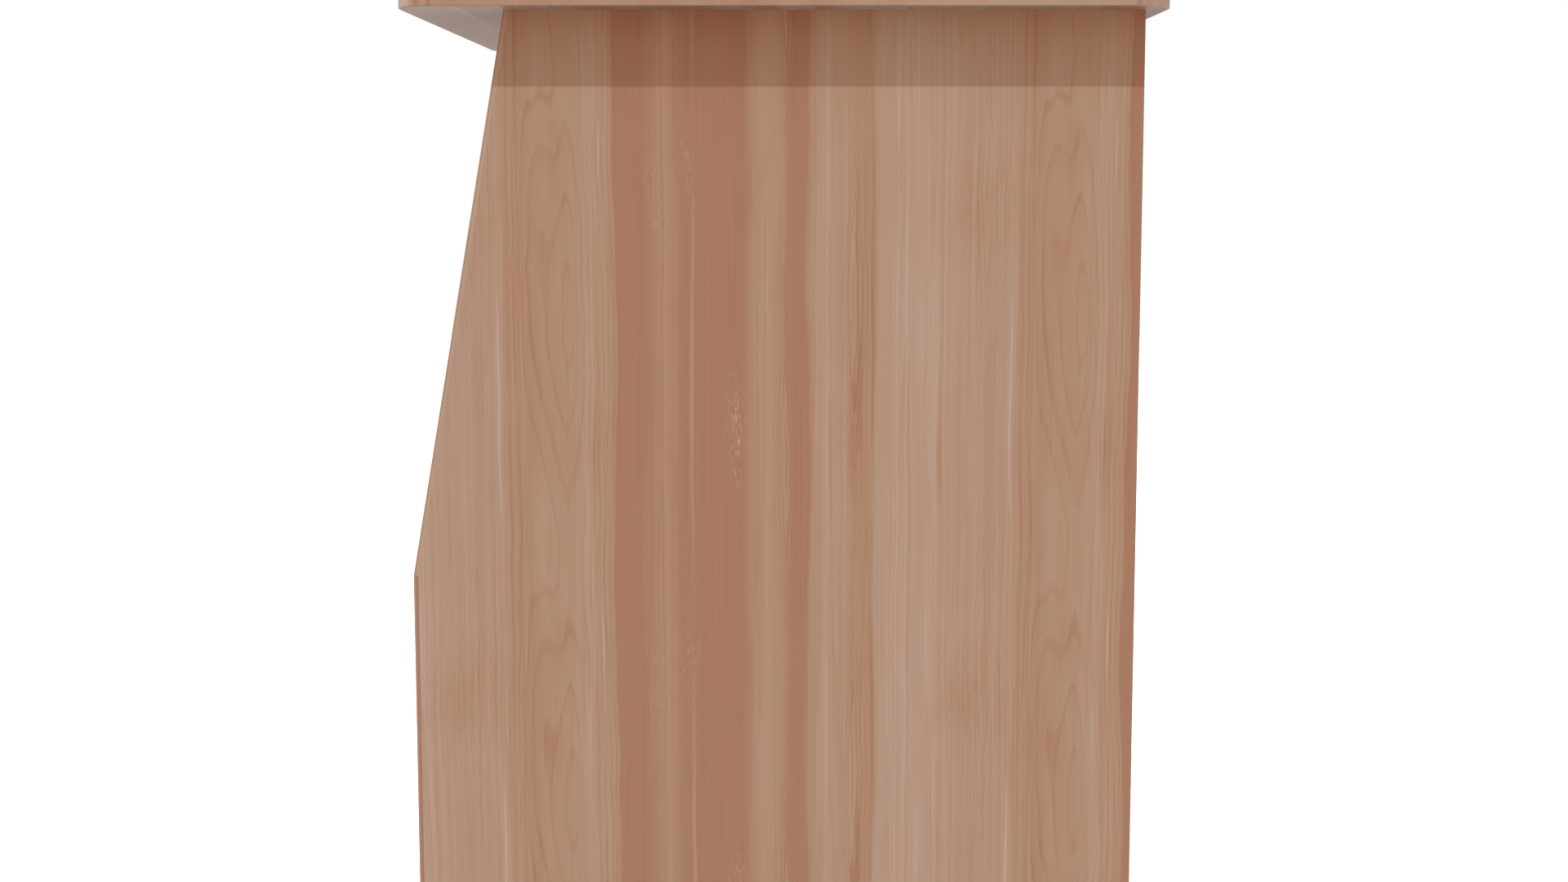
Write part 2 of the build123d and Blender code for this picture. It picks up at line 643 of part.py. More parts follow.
with BuildPart() as fixed_strip:
    with BuildSketch(SLOPE.offset(-BOARD)):
        with Locations((0, -(STRIP_DEPTH + HINGE_GAP / 2) / 2)):
            Rectangle(READING_WIDTH, STRIP_DEPTH - HINGE_GAP / 2)
    extrude(amount=BOARD)
    with Locations(*leaf_screws(lid_hinges, -1, HINGE_GAP / 2)):
        Hole(SCREW_HOLE_R, depth=PILOT_DEPTH)
save(fixed_strip, "fixed_strip")

with BuildPart() as lid_bumpers:
    for x in (-TRAY_INSIDE - BOARD / 2, TRAY_INSIDE + BOARD / 2):
        for run in (BUMPER_FROM_HINGE, READING_END - BUMPER_FROM_END):
            with BuildSketch(shifted(SLOPE, x=x, y=run, z=-BOARD - LID_CLEARANCE)):
                Circle(BUMPER_R)
            extrude(amount=BUMPER_HEIGHT)
save(lid_bumpers, "lid_bumpers")

# ---- Reading board: core, edge band and the ledge that stops books ----
BOARD_RUN = READING_END - HINGE_GAP / 2
BOARD_MIDDLE = (READING_END + HINGE_GAP / 2) / 2
with BuildPart() as reading_board:
    with BuildSketch(SLOPE.offset(-BOARD)):
        with Locations((0, BOARD_MIDDLE)):
            Rectangle(READING_WIDTH - 2 * BAND, BOARD_RUN - 2 * BAND)
    extrude(amount=BOARD)
    with Locations(*leaf_screws(lid_hinges, 1, HINGE_GAP / 2)):
        Hole(SCREW_HOLE_R, depth=PILOT_DEPTH)
    with Locations(*ledge_screws):
        Hole(SCREW_HOLE_R, depth=PILOT_DEPTH + 2 * BAND)
save(reading_board, "reading_board")

with BuildPart() as reading_board_edge_band:
    with BuildSketch(SLOPE.offset(-BOARD)):
        with Locations((0, BOARD_MIDDLE)):
            Rectangle(READING_WIDTH, BOARD_RUN)
            Rectangle(READING_WIDTH - 2 * BAND, BOARD_RUN - 2 * BAND, mode=Mode.SUBTRACT)
    extrude(amount=BOARD)
    with Locations(*leaf_screws(lid_hinges, 1, HINGE_GAP / 2)):
        Hole(SCREW_HOLE_R, depth=PILOT_DEPTH)
    with Locations(*ledge_screws):
        Hole(SCREW_HOLE_R, depth=PILOT_DEPTH)
save(reading_board_edge_band, "reading_board_edge_band")

with BuildPart() as book_ledge:
    with BuildSketch(SLOPE.offset(-BOARD)):
        with Locations((0, READING_END + LEDGE_THICKNESS / 2)):
            Rectangle(READING_WIDTH, LEDGE_THICKNESS)
    extrude(amount=BOARD + LEDGE_RISE)
    fillet(book_ledge.edges().filter_by(Axis.X).sort_by(Axis.Z)[-2:], LEDGE_ROUND)
    sunk = LEDGE_FLOOR + BORE_SUNK
    with Locations(*[shifted(f, z=LEDGE_FLOOR) for f in ledge_screws]):
        CounterBoreHole(SCREW_HOLE_R, BORE_R, sunk, depth=2 * LEDGE_THICKNESS)
save(book_ledge, "book_ledge")

# ---- Door ----
DOOR_MIDDLE_Z = (DOOR_LOW + DOOR_HIGH) / 2
DOOR_FACE = Plane(origin=(0, REAR_Y, DOOR_MIDDLE_Z), x_dir=(-1, 0, 0), z_dir=(0, 1, 0))
PULL_FRAME = shifted(DOOR_FACE, x=-PULL_X, y=PULL_Z - DOOR_MIDDLE_Z)
LOCK_FRAME = shifted(DOOR_FACE, x=-LOCK_X, y=LOCK_Z - DOOR_MIDDLE_Z)
with BuildPart() as door:
    with BuildSketch(DOOR_FACE.offset(-BOARD)):
        Rectangle(2 * (DOOR_HALF - BAND), DOOR_HIGH - DOOR_LOW - 2 * BAND)
    extrude(amount=BOARD)
    with BuildSketch(PULL_FRAME):
        RectangleRounded(PULL_WIDTH - 2 * PULL_RIM, PULL_HEIGHT - 2 * PULL_RIM, PULL_RIM)
    extrude(amount=-PULL_DEPTH - 2 * CLEARANCE, mode=Mode.SUBTRACT)
    with Locations(LOCK_FRAME):
        Hole(LOCK_BARREL_R + CLEARANCE)
    with Locations(*leaf_screws(door_hinges, 1, HINGE_GAP / 2)):
        Hole(SCREW_HOLE_R, depth=PILOT_DEPTH)
    with Locations(*plate_screws):
        Hole(SCREW_HOLE_R, depth=SCREW_LENGTH)
save(door, "door")

with BuildPart() as door_edge_band:
    with BuildSketch(DOOR_FACE.offset(-BOARD)):
        Rectangle(2 * DOOR_HALF, DOOR_HIGH - DOOR_LOW)
        Rectangle(2 * (DOOR_HALF - BAND), DOOR_HIGH - DOOR_LOW - 2 * BAND, mode=Mode.SUBTRACT)
    extrude(amount=BOARD)
    with Locations(*leaf_screws(door_hinges, 1, HINGE_GAP / 2)):
        Hole(SCREW_HOLE_R, depth=PILOT_DEPTH)
save(door_edge_band, "door_edge_band")

with BuildPart() as flush_pull:
    with BuildSketch(PULL_FRAME):
        RectangleRounded(PULL_WIDTH, PULL_HEIGHT, 2 * PULL_RIM)
    extrude(amount=PULL_FLANGE)
    fillet(flush_pull.faces().sort_by(Axis.Y)[-1].edges(), PULL_FLANGE / 2)
    cup = 2 * (PULL_RIM + CLEARANCE)
    with BuildSketch(PULL_FRAME):
        RectangleRounded(PULL_WIDTH - cup, PULL_HEIGHT - cup, PULL_RIM)
    extrude(amount=-PULL_DEPTH)
    inner = 2 * (PULL_RIM + PULL_WALL)
    with BuildSketch(PULL_FRAME.offset(PULL_FLANGE)):
        RectangleRounded(PULL_WIDTH - inner, PULL_HEIGHT - inner, PULL_RIM - PULL_WALL)
    extrude(amount=PULL_WALL - PULL_DEPTH - PULL_FLANGE, mode=Mode.SUBTRACT)
save(flush_pull, "flush_pull")

# ---- Cam lock of the door ----
with BuildPart() as lock_housing:
    with BuildSketch(LOCK_FRAME):
        Circle(LOCK_FLANGE_R)
    extrude(amount=LOCK_FLANGE)
    fillet(lock_housing.faces().sort_by(Axis.Y)[-1].edges(), LOCK_FLANGE / 2)
    with BuildSketch(LOCK_FRAME):
        Circle(LOCK_BARREL_R)
    extrude(amount=-BOARD - LOCK_BARREL_IN)
    with Locations(shifted(LOCK_FRAME, z=LOCK_FLANGE)):
        Hole(PLUG_R + CLEARANCE)
save(lock_housing, "lock_housing")

with BuildPart() as lock_nut:
    with BuildSketch(LOCK_FRAME.offset(-BOARD)):
        RegularPolygon(NUT_R, side_count=HEXAGON)
        Circle(LOCK_BARREL_R + CLEARANCE, mode=Mode.SUBTRACT)
    extrude(amount=-NUT_THICK)
save(lock_nut, "lock_nut")

PLUG_INNER = BOARD + LOCK_BARREL_IN + HOLE_EXTRA
with BuildPart() as lock_plug:
    with BuildSketch(LOCK_FRAME.offset(LOCK_FLANGE + PLUG_PROUD)):
        Circle(PLUG_R)
    extrude(amount=-PLUG_INNER - LOCK_FLANGE - PLUG_PROUD)
    with BuildSketch(LOCK_FRAME.offset(LOCK_FLANGE + PLUG_PROUD)):
        Rectangle(*KEYWAY)
    extrude(amount=-KEYWAY_DEPTH, mode=Mode.SUBTRACT)
    with BuildSketch(LOCK_FRAME.offset(-PLUG_INNER)):
        Rectangle(TAIL, TAIL)
    extrude(amount=-TAIL_LENGTH)
save(lock_plug, "lock_plug")

with BuildPart() as lock_cam:
    with BuildSketch(LOCK_FRAME.offset(-PLUG_INNER - CAM_ARM_OFFSET)):
        with Locations((0, -CAM_ARM / 2 + CAM_ARM_WIDTH / 4)):
            SlotOverall(CAM_ARM + CAM_ARM_WIDTH / 2, CAM_ARM_WIDTH, rotation=90)
        Rectangle(TAIL + 2 * CLEARANCE, TAIL + 2 * CLEARANCE, mode=Mode.SUBTRACT)
    extrude(amount=-CAM_ARM_THICK)
save(lock_cam, "lock_cam")

with BuildPart() as lock_strike:
    plate_back = STRIKE_Y - STRIKE_PLATE
    with BuildSketch(Plane.XY.offset(LOCK_Z - STRIKE_WIDTH / 2)):
        with BuildLine():
            Polyline(
                (INSIDE, plate_back),
                (INSIDE, STRIKE_Y),
                (INSIDE - STRIKE_LIP, STRIKE_Y),
                (INSIDE - STRIKE_LIP, STRIKE_Y - BRACKET_THICK),
                (INSIDE - BRACKET_THICK, STRIKE_Y - BRACKET_THICK),
                (INSIDE - BRACKET_THICK, plate_back),
                close=True,
            )
        make_face()
    extrude(amount=STRIKE_WIDTH)
    with Locations(*strike_screws):
        CounterSinkHole(SCREW_HOLE_R, SINK_R, depth=BOARD, counter_sink_angle=SINK_ANGLE)
save(lock_strike, "lock_strike")

# ---- Magnetic catch under the fixed shelf, and its plate on the door ----
with BuildPart() as magnetic_catch:
    with Locations((CATCH_X, catch_y, SHELF_LOW - CATCH_SIZE[2] / 2)):
        Box(*CATCH_SIZE)
    fillet(magnetic_catch.edges().filter_by(Axis.Z), CATCH_ROUND)
    catch_sunk = CATCH_SIZE[2] - CATCH_FLOOR
    with Locations(*[shifted(f, z=catch_sunk) for f in catch_screws]):
        CounterBoreHole(SCREW_HOLE_R, BORE_R, catch_sunk + BORE_SUNK, depth=BOARD)
save(magnetic_catch, "magnetic_catch")

with BuildPart() as catch_plate:
    with Locations((CATCH_X, DOOR_BACK_Y - CATCH_PLATE[1] / 2, plate_z)):
        Box(*CATCH_PLATE)
    with Locations(*plate_screws):
        CounterSinkHole(SCREW_HOLE_R, SINK_R, depth=BOARD, counter_sink_angle=SINK_ANGLE)
save(catch_plate, "catch_plate")


# ---- Butt hinges ----
def hinge_leaf(side, own):
    """One leaf, pin axis on Z, board towards side * X; own holds the numbers of its knuckles."""
    inner = LEAF_THICK / 2 + HINGE_GAP / 2 - LEAF_THICK
    plate_top = -KNUCKLE_R - PLATE_GAP
    plate_low = -HINGE_RISE - LEAF_DEPTH
    pitch = LEAF_LENGTH / KNUCKLES
    with BuildPart() as leaf:
        with BuildSketch(Plane.XY.offset(-LEAF_LENGTH / 2)):
            with Locations((side * inner, (plate_top + plate_low) / 2)):
                Rectangle(LEAF_THICK, plate_top - plate_low)
        extrude(amount=LEAF_LENGTH)
        for number in own:
            start = -LEAF_LENGTH / 2 + number * pitch + KNUCKLE_GAP
            with BuildSketch(Plane.XY.offset(start)):
                Circle(KNUCKLE_R)
                with Locations((side * inner, plate_top / 2)):
                    Rectangle(LEAF_THICK, -plate_top)
                Circle(HINGE_PIN_R + CLEARANCE, mode=Mode.SUBTRACT)
            extrude(amount=pitch - 2 * KNUCKLE_GAP)
        face_x = side * (HINGE_GAP / 2 - LEAF_THICK)
        for step in HINGE_SCREW_STEPS:
            place = (face_x, -HINGE_RISE - BOARD / 2, step * HINGE_SCREW_PITCH)
            with Locations(Plane(origin=place, x_dir=(0, 0, 1), z_dir=(-side, 0, 0))):
                CounterSinkHole(
                    SCREW_HOLE_R, SINK_R, depth=BOARD, counter_sink_angle=SINK_ANGLE
                )
    return leaf.part


FIXED_KNUCKLES = (0, 2, 4)
MOVING_KNUCKLES = (1, 3)
fixed_leaf = hinge_leaf(-1, FIXED_KNUCKLES)
moving_leaf = hinge_leaf(1, MOVING_KNUCKLES)

with BuildPart() as hinge_pin:
    with BuildSketch(Plane.XY.offset(-LEAF_LENGTH / 2)):
        Circle(HINGE_PIN_R)
    extrude(amount=LEAF_LENGTH)

with BuildPart() as door_hinge_side_leaves:
    with Locations(*door_hinges):
        add(fixed_leaf)
save(door_hinge_side_leaves, "door_hinge_side_leaves")

with BuildPart() as door_hinge_door_leaves:
    with Locations(*door_hinges):
        add(moving_leaf)
save(door_hinge_door_leaves, "door_hinge_door_leaves")

with BuildPart() as door_hinge_pins:
    with Locations(*door_hinges):
        add(hinge_pin.part)
save(door_hinge_pins, "door_hinge_pins")

with BuildPart() as lid_hinge_strip_leaves:
    with Locations(*lid_hinges):
        add(fixed_leaf)
save(lid_hinge_strip_leaves, "lid_hinge_strip_leaves")

with BuildPart() as lid_hinge_board_leaves:
    with Locations(*lid_hinges):
        add(moving_leaf)
save(lid_hinge_board_leaves, "lid_hinge_board_leaves")

with BuildPart() as lid_hinge_pins:
    with Locations(*lid_hinges):
        add(hinge_pin.part)
save(lid_hinge_pins, "lid_hinge_pins")

# ---- Brackets that hold the desk top and the tray ----
with BuildPart() as one_bracket:
    with BuildSketch(Plane.XZ.offset(-BRACKET_WIDTH / 2)):
        with BuildLine():
            Polyline(
                (0, 0),
                (BRACKET_LEG, 0),
                (BRACKET_LEG, BRACKET_THICK),
                (BRACKET_THICK, BRACKET_THICK),
                (BRACKET_THICK, BRACKET_LEG),
                (0, BRACKET_LEG),
                close=True,
            )
        make_face()
    extrude(amount=BRACKET_WIDTH)
    bracket_frame = [Plane.XY]
    with Locations(
        *bracket_screws(bracket_frame, "wall", BRACKET_THICK),
        *bracket_screws(bracket_frame, "top", BRACKET_THICK),
    ):
        CounterSinkHole(SCREW_HOLE_R, SINK_R, depth=2 * BRACKET_THICK, counter_sink_angle=SINK_ANGLE)

with BuildPart() as angle_brackets:
    with Locations(*body_brackets, *tray_brackets):
        add(one_bracket.part)
save(angle_brackets, "angle_brackets")

# ---- Countersunk wood screws, all of one size ----
with BuildPart() as one_screw:
    with BuildSketch(Plane.XZ):
        with BuildLine():
            Polyline(
                (0, 0),
                (SCREW_HEAD_R, 0),
                (SCREW_R, SCREW_R - SCREW_HEAD_R),
                (SCREW_R, SCREW_POINT - SCREW_LENGTH),
                (0, -SCREW_LENGTH + CLEARANCE),
                close=True,
            )
        make_face()
    revolve(axis=Axis.Z)
    with BuildSketch(Plane.XY):
        Rectangle(CROSS_LENGTH, CROSS_WIDTH)
        Rectangle(CROSS_WIDTH, CROSS_LENGTH)
    extrude(amount=-CROSS_DEPTH, mode=Mode.SUBTRACT)

LEAF_FACE = HINGE_GAP / 2 - LEAF_THICK
cabinet_screw_frames = (
    bracket_screws(body_brackets + tray_brackets, "wall", BRACKET_THICK)
    + bracket_screws(body_brackets + tray_brackets, "top", BRACKET_THICK)
    + leaf_screws(door_hinges + lid_hinges, -1, LEAF_FACE)
    + strike_screws
    + catch_screws
)
with BuildPart() as cabinet_screws:
    with Locations(*cabinet_screw_frames):
        add(one_screw.part)
save(cabinet_screws, "cabinet_screws")

with BuildPart() as door_screws:
    with Locations(*leaf_screws(door_hinges, 1, LEAF_FACE), *plate_screws):
        add(one_screw.part)
save(door_screws, "door_screws")

with BuildPart() as reading_board_screws:
    with Locations(*leaf_screws(lid_hinges, 1, LEAF_FACE), *ledge_screws):
        add(one_screw.part)
save(reading_board_screws, "reading_board_screws")

# ---- Knock-down fittings ----
with BuildPart() as one_bolt:
    with BuildSketch(Plane.XY):
        with BuildLine():
            Polyline(
                (-BOLT_END, 0),
                (-BOLT_END, BOLT_R),
                (-BOLT_NECK_TO, BOLT_R),
                (-BOLT_NECK_TO, BOLT_NECK_R),
                (-BOLT_NECK_FROM, BOLT_NECK_R),
                (-BOLT_NECK_FROM, BOLT_R),
                (BOLT_IN_SIDE, BOLT_R),
                (BOLT_IN_SIDE, 0),
                close=True,
            )
        make_face()
    revolve(axis=Axis.X)

with BuildPart() as cam_bolts:
    with Locations(*body_cams):
        add(one_bolt.part)
save(cam_bolts, "cam_bolts")

with BuildPart() as one_cam:
    with BuildSketch(Plane.XY.offset(BOARD / 2 - CAM_SUNK)):
        with Locations((-CAM_REACH, 0)):
            Circle(CAM_R)
    extrude(amount=-CAM_HEIGHT)
    with Locations(Plane(origin=(-CAM_REACH + CAM_R, 0, 0), x_dir=(0, 0, 1), z_dir=(1, 0, 0))):
        Hole(CAM_BORE_R, depth=CAM_R + 2 * BOLT_NECK_R)
    with BuildSketch(Plane.XY.offset(BOARD / 2 - CAM_SUNK)):
        with Locations((-CAM_REACH, 0)):
            Rectangle(CAM_SLOT, CAM_SLOT_WIDTH)
            Rectangle(CAM_SLOT_WIDTH, CAM_SLOT)
    extrude(amount=-CAM_SLOT_DEPTH, mode=Mode.SUBTRACT)

with BuildPart() as cam_locks:
    with Locations(*body_cams):
        add(one_cam.part)
save(cam_locks, "cam_locks")

with BuildPart() as one_dowel:
    with BuildSketch(Plane.YZ.offset(-DOWEL_IN_BOARD)):
        Circle(DOWEL_R)
    extrude(amount=DOWEL_IN_BOARD + DOWEL_IN_SIDE)
    chamfer(one_dowel.faces().filter_by(Axis.X).edges(), DOWEL_CHAMFER)

with BuildPart() as wood_dowels:
    with Locations(*body_dowels, *tray_front_dowels, *tray_rail_dowels):
        add(one_dowel.part)
save(wood_dowels, "wood_dowels")

# ---- Levelling feet: each pad and threaded stem moves in a metal insert in its block ----
feet = {
    "front_right": (FOOT_X, FOOT_Y[0]),
    "front_left": (-FOOT_X, FOOT_Y[0]),
    "rear_right": (FOOT_X, FOOT_Y[1]),
    "rear_left": (-FOOT_X, FOOT_Y[1]),
}
with BuildPart() as foot_blocks:
    with BuildSketch(Plane.XY.offset(BLOCK_LOW)):
        with Locations(*feet.values()):
            Rectangle(BLOCK_SIZE, BLOCK_SIZE)
            Circle(STEM_SPACE_R, mode=Mode.SUBTRACT)
    extrude(amount=BOTTOM_LOW - BLOCK_LOW)
    with BuildSketch(Plane.XY.offset(BLOCK_LOW)):
        with Locations(*feet.values()):
            Circle(INSERT_R + CLEARANCE)
    extrude(amount=INSERT_LENGTH + CLEARANCE, mode=Mode.SUBTRACT)
save(foot_blocks, "foot_blocks")

with BuildPart() as foot_inserts:
    with BuildSketch(Plane.XY.offset(BLOCK_LOW)):
        with Locations(*feet.values()):
            Circle(INSERT_R)
    extrude(amount=INSERT_LENGTH)
    with BuildSketch(Plane.XY.offset(BLOCK_LOW - INSERT_FLANGE)):
        with Locations(*feet.values()):
            Circle(INSERT_FLANGE_R)
    extrude(amount=INSERT_FLANGE)
    with BuildSketch(Plane.XY.offset(BLOCK_LOW - INSERT_FLANGE)):
        with Locations(*feet.values()):
            Circle(STEM_R + CLEARANCE)
    extrude(amount=INSERT_FLANGE + INSERT_LENGTH, mode=Mode.SUBTRACT)
save(foot_inserts, "foot_inserts")

for corner, (foot_x, foot_y) in feet.items():
    with BuildPart() as foot_pad:
        with BuildSketch(Plane.XZ.offset(-foot_y)):
            with BuildLine():
                Polyline(
                    (foot_x, 0),
                    (foot_x + FOOT_PAD_R - FOOT_CHAMFER, 0),
                    (foot_x + FOOT_PAD_R, FOOT_CHAMFER),
                    (foot_x + FOOT_PAD_R, FOOT_PAD_RIM),
                    (foot_x + FOOT_PAD_NECK_R, FOOT_PAD_HEIGHT),
                    (foot_x, FOOT_PAD_HEIGHT),
                    close=True,
                )
            make_face()
        revolve(axis=Axis((foot_x, foot_y, 0), (0, 0, 1)))
        with Locations(Plane(origin=(foot_x, foot_y, FOOT_PAD_HEIGHT))):
            Hole(STEM_R + CLEARANCE, depth=FOOT_PAD_HEIGHT - STEM_LOW + CLEARANCE)
    save(foot_pad, "foot_pad_" + corner)

    with BuildPart() as foot_stem:
        with BuildSketch(Plane.XY.offset(STEM_LOW)):
            with Locations((foot_x, foot_y)):
                Circle(STEM_R)
        extrude(amount=STEM_HIGH - STEM_LOW)
        chamfer(foot_stem.faces().sort_by(Axis.Z)[-1].edges(), FOOT_CHAMFER)
    save(foot_stem, "foot_stem_" + corner)
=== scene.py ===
"""Looks of the lectern podium: procedural wood laminate, edge bands, metal and plastic, light and camera."""
import math

import bpy
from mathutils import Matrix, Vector


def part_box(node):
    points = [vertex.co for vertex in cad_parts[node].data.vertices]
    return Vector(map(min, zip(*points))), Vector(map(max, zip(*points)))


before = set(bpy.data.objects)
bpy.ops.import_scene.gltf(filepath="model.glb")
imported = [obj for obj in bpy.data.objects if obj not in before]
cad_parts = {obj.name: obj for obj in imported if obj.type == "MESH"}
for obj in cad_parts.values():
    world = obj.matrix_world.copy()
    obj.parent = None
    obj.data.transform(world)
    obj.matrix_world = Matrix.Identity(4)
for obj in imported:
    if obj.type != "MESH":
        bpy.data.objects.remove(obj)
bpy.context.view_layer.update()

X, Y, Z = Vector((1, 0, 0)), Vector((0, 1, 0)), Vector((0, 0, 1))
MM = 1000.0

# ---- The printed wood pattern. All places and sizes are in millimetres. ----
# One repeat of the pattern, across and along the grain.
TILE_ACROSS = 407.5
TILE_ALONG = 394.0
# Where the pattern starts on the right side panel, from the front end of the desk top.
TILE_START = 95.0

# Tone of the bands across the grain: place, lightness from 0 to 1.
BANDS = [
    (0, 0.44), (12, 0.54), (32, 0.58), (48, 0.78), (66, 0.60), (70.5, 0.54), (71.5, 0.14), (91, 0.10),
    (99, 0.24), (112, 0.38), (118, 0.36), (122, 0.16), (137, 0.12), (172, 0.10), (180, 0.40), (188, 0.64),
    (198, 0.62), (207, 0.32), (212, 0.12), (223.5, 0.14), (225.5, 0.46), (236, 0.74), (252, 0.70),
    (258, 0.56), (264, 0.44), (276, 0.50), (277.5, 0.86), (312, 0.94), (344, 0.78), (360, 0.74),
    (384, 0.74), (397, 0.54),
]
# Slow swings of the bands along the board: centre and reach across, place of the furthest swing, its size.
SWINGS = [(85, 60, 270, 1.8), (225, 26, 380, 2.0), (285, 34, 205, 2.0)]
# Closed loops of grain: centre across and along, widths to the left and right, half length, how strong.
EYES = [(365, 133, 4.5, 4.5, 90, 0.9), (259, 222, 3.6, 4.2, 86, 1.3), (206, 354, 3.4, 3.6, 86, 1.2)]
# Fainter loops around the first one: their gap and place, how far they reach, middle and half width of a
# line, how pale the inside is and how dark a line is.
LOOP_GAP, LOOP_START = 0.8, 0.25
LOOP_REACH = 4.0
LOOP_LINE = (0.85, 0.2)
LOOP_PALE, LOOP_DARK = 0.22, 0.34

# Thin pale lines: centre across and along, half width, half length, how strong. A half length of WHOLE
# makes a line that runs through the repeat.
WHOLE = 900
GLINTS = [
    (385.5, 310, 1.6, 95, 0.85), (388.5, 250, 1.0, 170, 0.30), (132.5, 300, 1.7, 190, 0.45),
    (59, 110, 1.2, 30, 0.5), (302, 197, 1.3, WHOLE, 0.22), (295, 197, 1.2, WHOLE, 0.20),
    (239, 197, 1.4, WHOLE, 0.30), (319, 120, 2.5, 60, 0.16), (314, 255, 3.0, 50, 0.10),
    (112, 197, 3.0, WHOLE, 0.15), (9, 30, 8.0, 80, 0.2), (25, 30, 12.0, 70, 0.12),
    (46, 197, 1.0, WHOLE, 0.10), (52, 197, 1.2, WHOLE, 0.15), (106, 197, 1.0, WHOLE, 0.15),
]
# Thin dark lines, given in the same way.
VEINS = [
    (402, 197, 1.8, WHOLE, 0.22), (394, 197, 1.2, WHOLE, 0.12), (329, 357, 3.0, 40, 0.35),
    (265, 290, 2.5, 60, 0.38), (261, 303, 2.6, 16, 0.35), (275.5, 197, 1.6, WHOLE, 0.25),
    (242, 357, 1.2, 60, 0.25), (330, 197, 1.5, WHOLE, 0.15),
]
# Cloudy dark patches and groups of pale flecks: centre across and along, half sizes, how strong.
SMUDGES = [
    (370, 148, 34, 55, 0.25), (353, 150, 16, 40, 0.22), (57, 338, 22, 46, 0.24), (12, 168, 12, 36, 0.13),
    (262, 350, 9, 44, 0.26), (330, 160, 20, 34, 0.18), (26, 100, 9, 20, 0.2),
]
FLECKS = [(168, 335, 6, 48, 0.85), (167, 320, 12, 80, 0.5), (104, 150, 10, 55, 0.5), (130, 118, 8, 55, 0.45)]

# The arches are rings about a heart, joined to rings about a tongue beside it. STEPS: mm to a ring on the
# left and right. SOFT: how round the turn is, in mm. CALM: the reach in mm, and by its sign the side, over
# which the arches stop climbing.
HEART_ACROSS = 33.5
HEART_ALONG = 238
HEART_STEPS = (3.2, 1.35)
HEART_SOFT = 2.5
HEART_CALM = 9
TONGUE_ACROSS = 9
TONGUE_ALONG = 192
TONGUE_STEPS = (1.6, 6.7)
TONGUE_SOFT = 5.0
TONGUE_CALM = -8
# In ring numbers: how far the tongue's rings lag, half of what an arch climbs, and how softly the two join.
TONGUE_BEHIND = 4.7
ARCH_CLIMB = 4.68
ARCH_JOIN = 2.2
# Beyond a distance in mm to the left of the heart, or to the right of the tongue, rings follow faster.
HEART_CROWDS = (31.0, 0.6)
TONGUE_CROWDS = (17.0, 0.5)
# In ring numbers: how far before the middle the lines start to be counted, and from one line to the next.
RING_START = 2.4
RING_GAP = 3.5
# The rings are uneven: grains of noise to a ring, plane of the noise, by how much.
UNEVEN = (0.45, 4.0, 0.6)
# A ring's line: its middle and half thickness between two rings, and the ring numbers where lines fade in.
RING_MIDDLE = (0.86, 0.14)
RING_FADE = (1.8, 3.0)
# Its darkness comes and goes: grains of noise to a ring, mm along to a grain, plane, edges, gain, least.
RING_DEPTH = (0.5, 60, 11.0, (0.25, 0.75), 0.9, 0.25)
# Where between two lines the shading is neither paler nor darker.
SHADE_MIDDLE = 0.45
# The arches fade out between these distances from the heart, and from the seam of the repeat.
HEART_FADE = (36.5, 38.5)
SEAM_FADE = (12.0, 18.0)
# The oval line in the middle of the heart: half sizes and half thickness.
CORE_HALVES = (4.6, 39)
CORE_LINE = 0.2
# How dark the lines, the shading between them and the oval are, and the whole of it.
RING_LINE, RING_SHADE, CORE_DARK = 0.25, 0.11, 0.18
ARCHES = 0.92
# Inside the arches the straight grain is quieter: centre, half width, by how much.
QUIET = (20, 30, 0.55)

# Layers of noise: size of a grain in the first and the second direction, plane of the noise, detail,
# roughness. For the first five the first direction is along the board; for the others it is across.
SWAY = (95, 200, 3.1, 1.0, 0.5)
RIPPLE = (30, 30, 7.7, 2.0, 0.5)
SHIVER = (5, 1.5, 5.5, 1.0, 0.5)
CLOUD = (70, 30, 4.4, 2.0, 0.5)
WANDER = (70, 40, 6.1, 1.0, 0.5)
LIVELY = (9, 75, 12.5, 2.0, 0.5)
CONTOUR = (24, 2200, 1.3, 2.0, 0.5)
STRAND = (1.4, 700, 5.9, 2.0, 0.6)
BROAD = (4.5, 500, 2.3, 1.0, 0.5)
FINE = (0.7, 90, 9.2, 2.0, 0.6)
WEAVE = (1.3, 0.8, 2.2, 1.0, 0.5)
DRIFT = (9, 90, 14.1, 2.0, 0.5)
BLOTCH = (4, 22, 1.7, 4.0, 0.7)
SPECK = (1.1, 9, 3.9, 3.0, 0.6)
NOISE_MEAN = 0.5
# Sideways moves that the layers give to the bands, to the straight lines, to the arches, and the loops' share
# of the arches' move.
SWAY_MOVE, RIPPLE_MOVE, SHIVER_MOVE = 6, 3.6, 0.4
STRAIGHT_SWAY = 4
WANDER_MOVE = 3.0
LOOP_WANDER = 0.4
# How many contour lines there are from the lowest to the highest value of the contour layer.
CONTOURS = 17.0
# Pale bands show more of the fine lines than dark ones: gain and least of that, and of the lines' liveliness.
FIGURE_GAIN, FIGURE_LEAST = 1.1, 0.20
LIVELY_GAIN, LIVELY_LEAST = 1.3, 0.35
# What each layer adds to the tone.
CONTOUR_TONE, STRAND_TONE, BROAD_TONE = 0.24, 0.80, 0.24
FINE_TONE, WEAVE_TONE, CLOUD_TONE, DRIFT_TONE = 0.28, 0.14, 0.16, 0.34
# What each layer adds to the height of the pores.
FINE_RELIEF, STRAND_RELIEF, WEAVE_RELIEF = 0.5, 0.5, 0.4
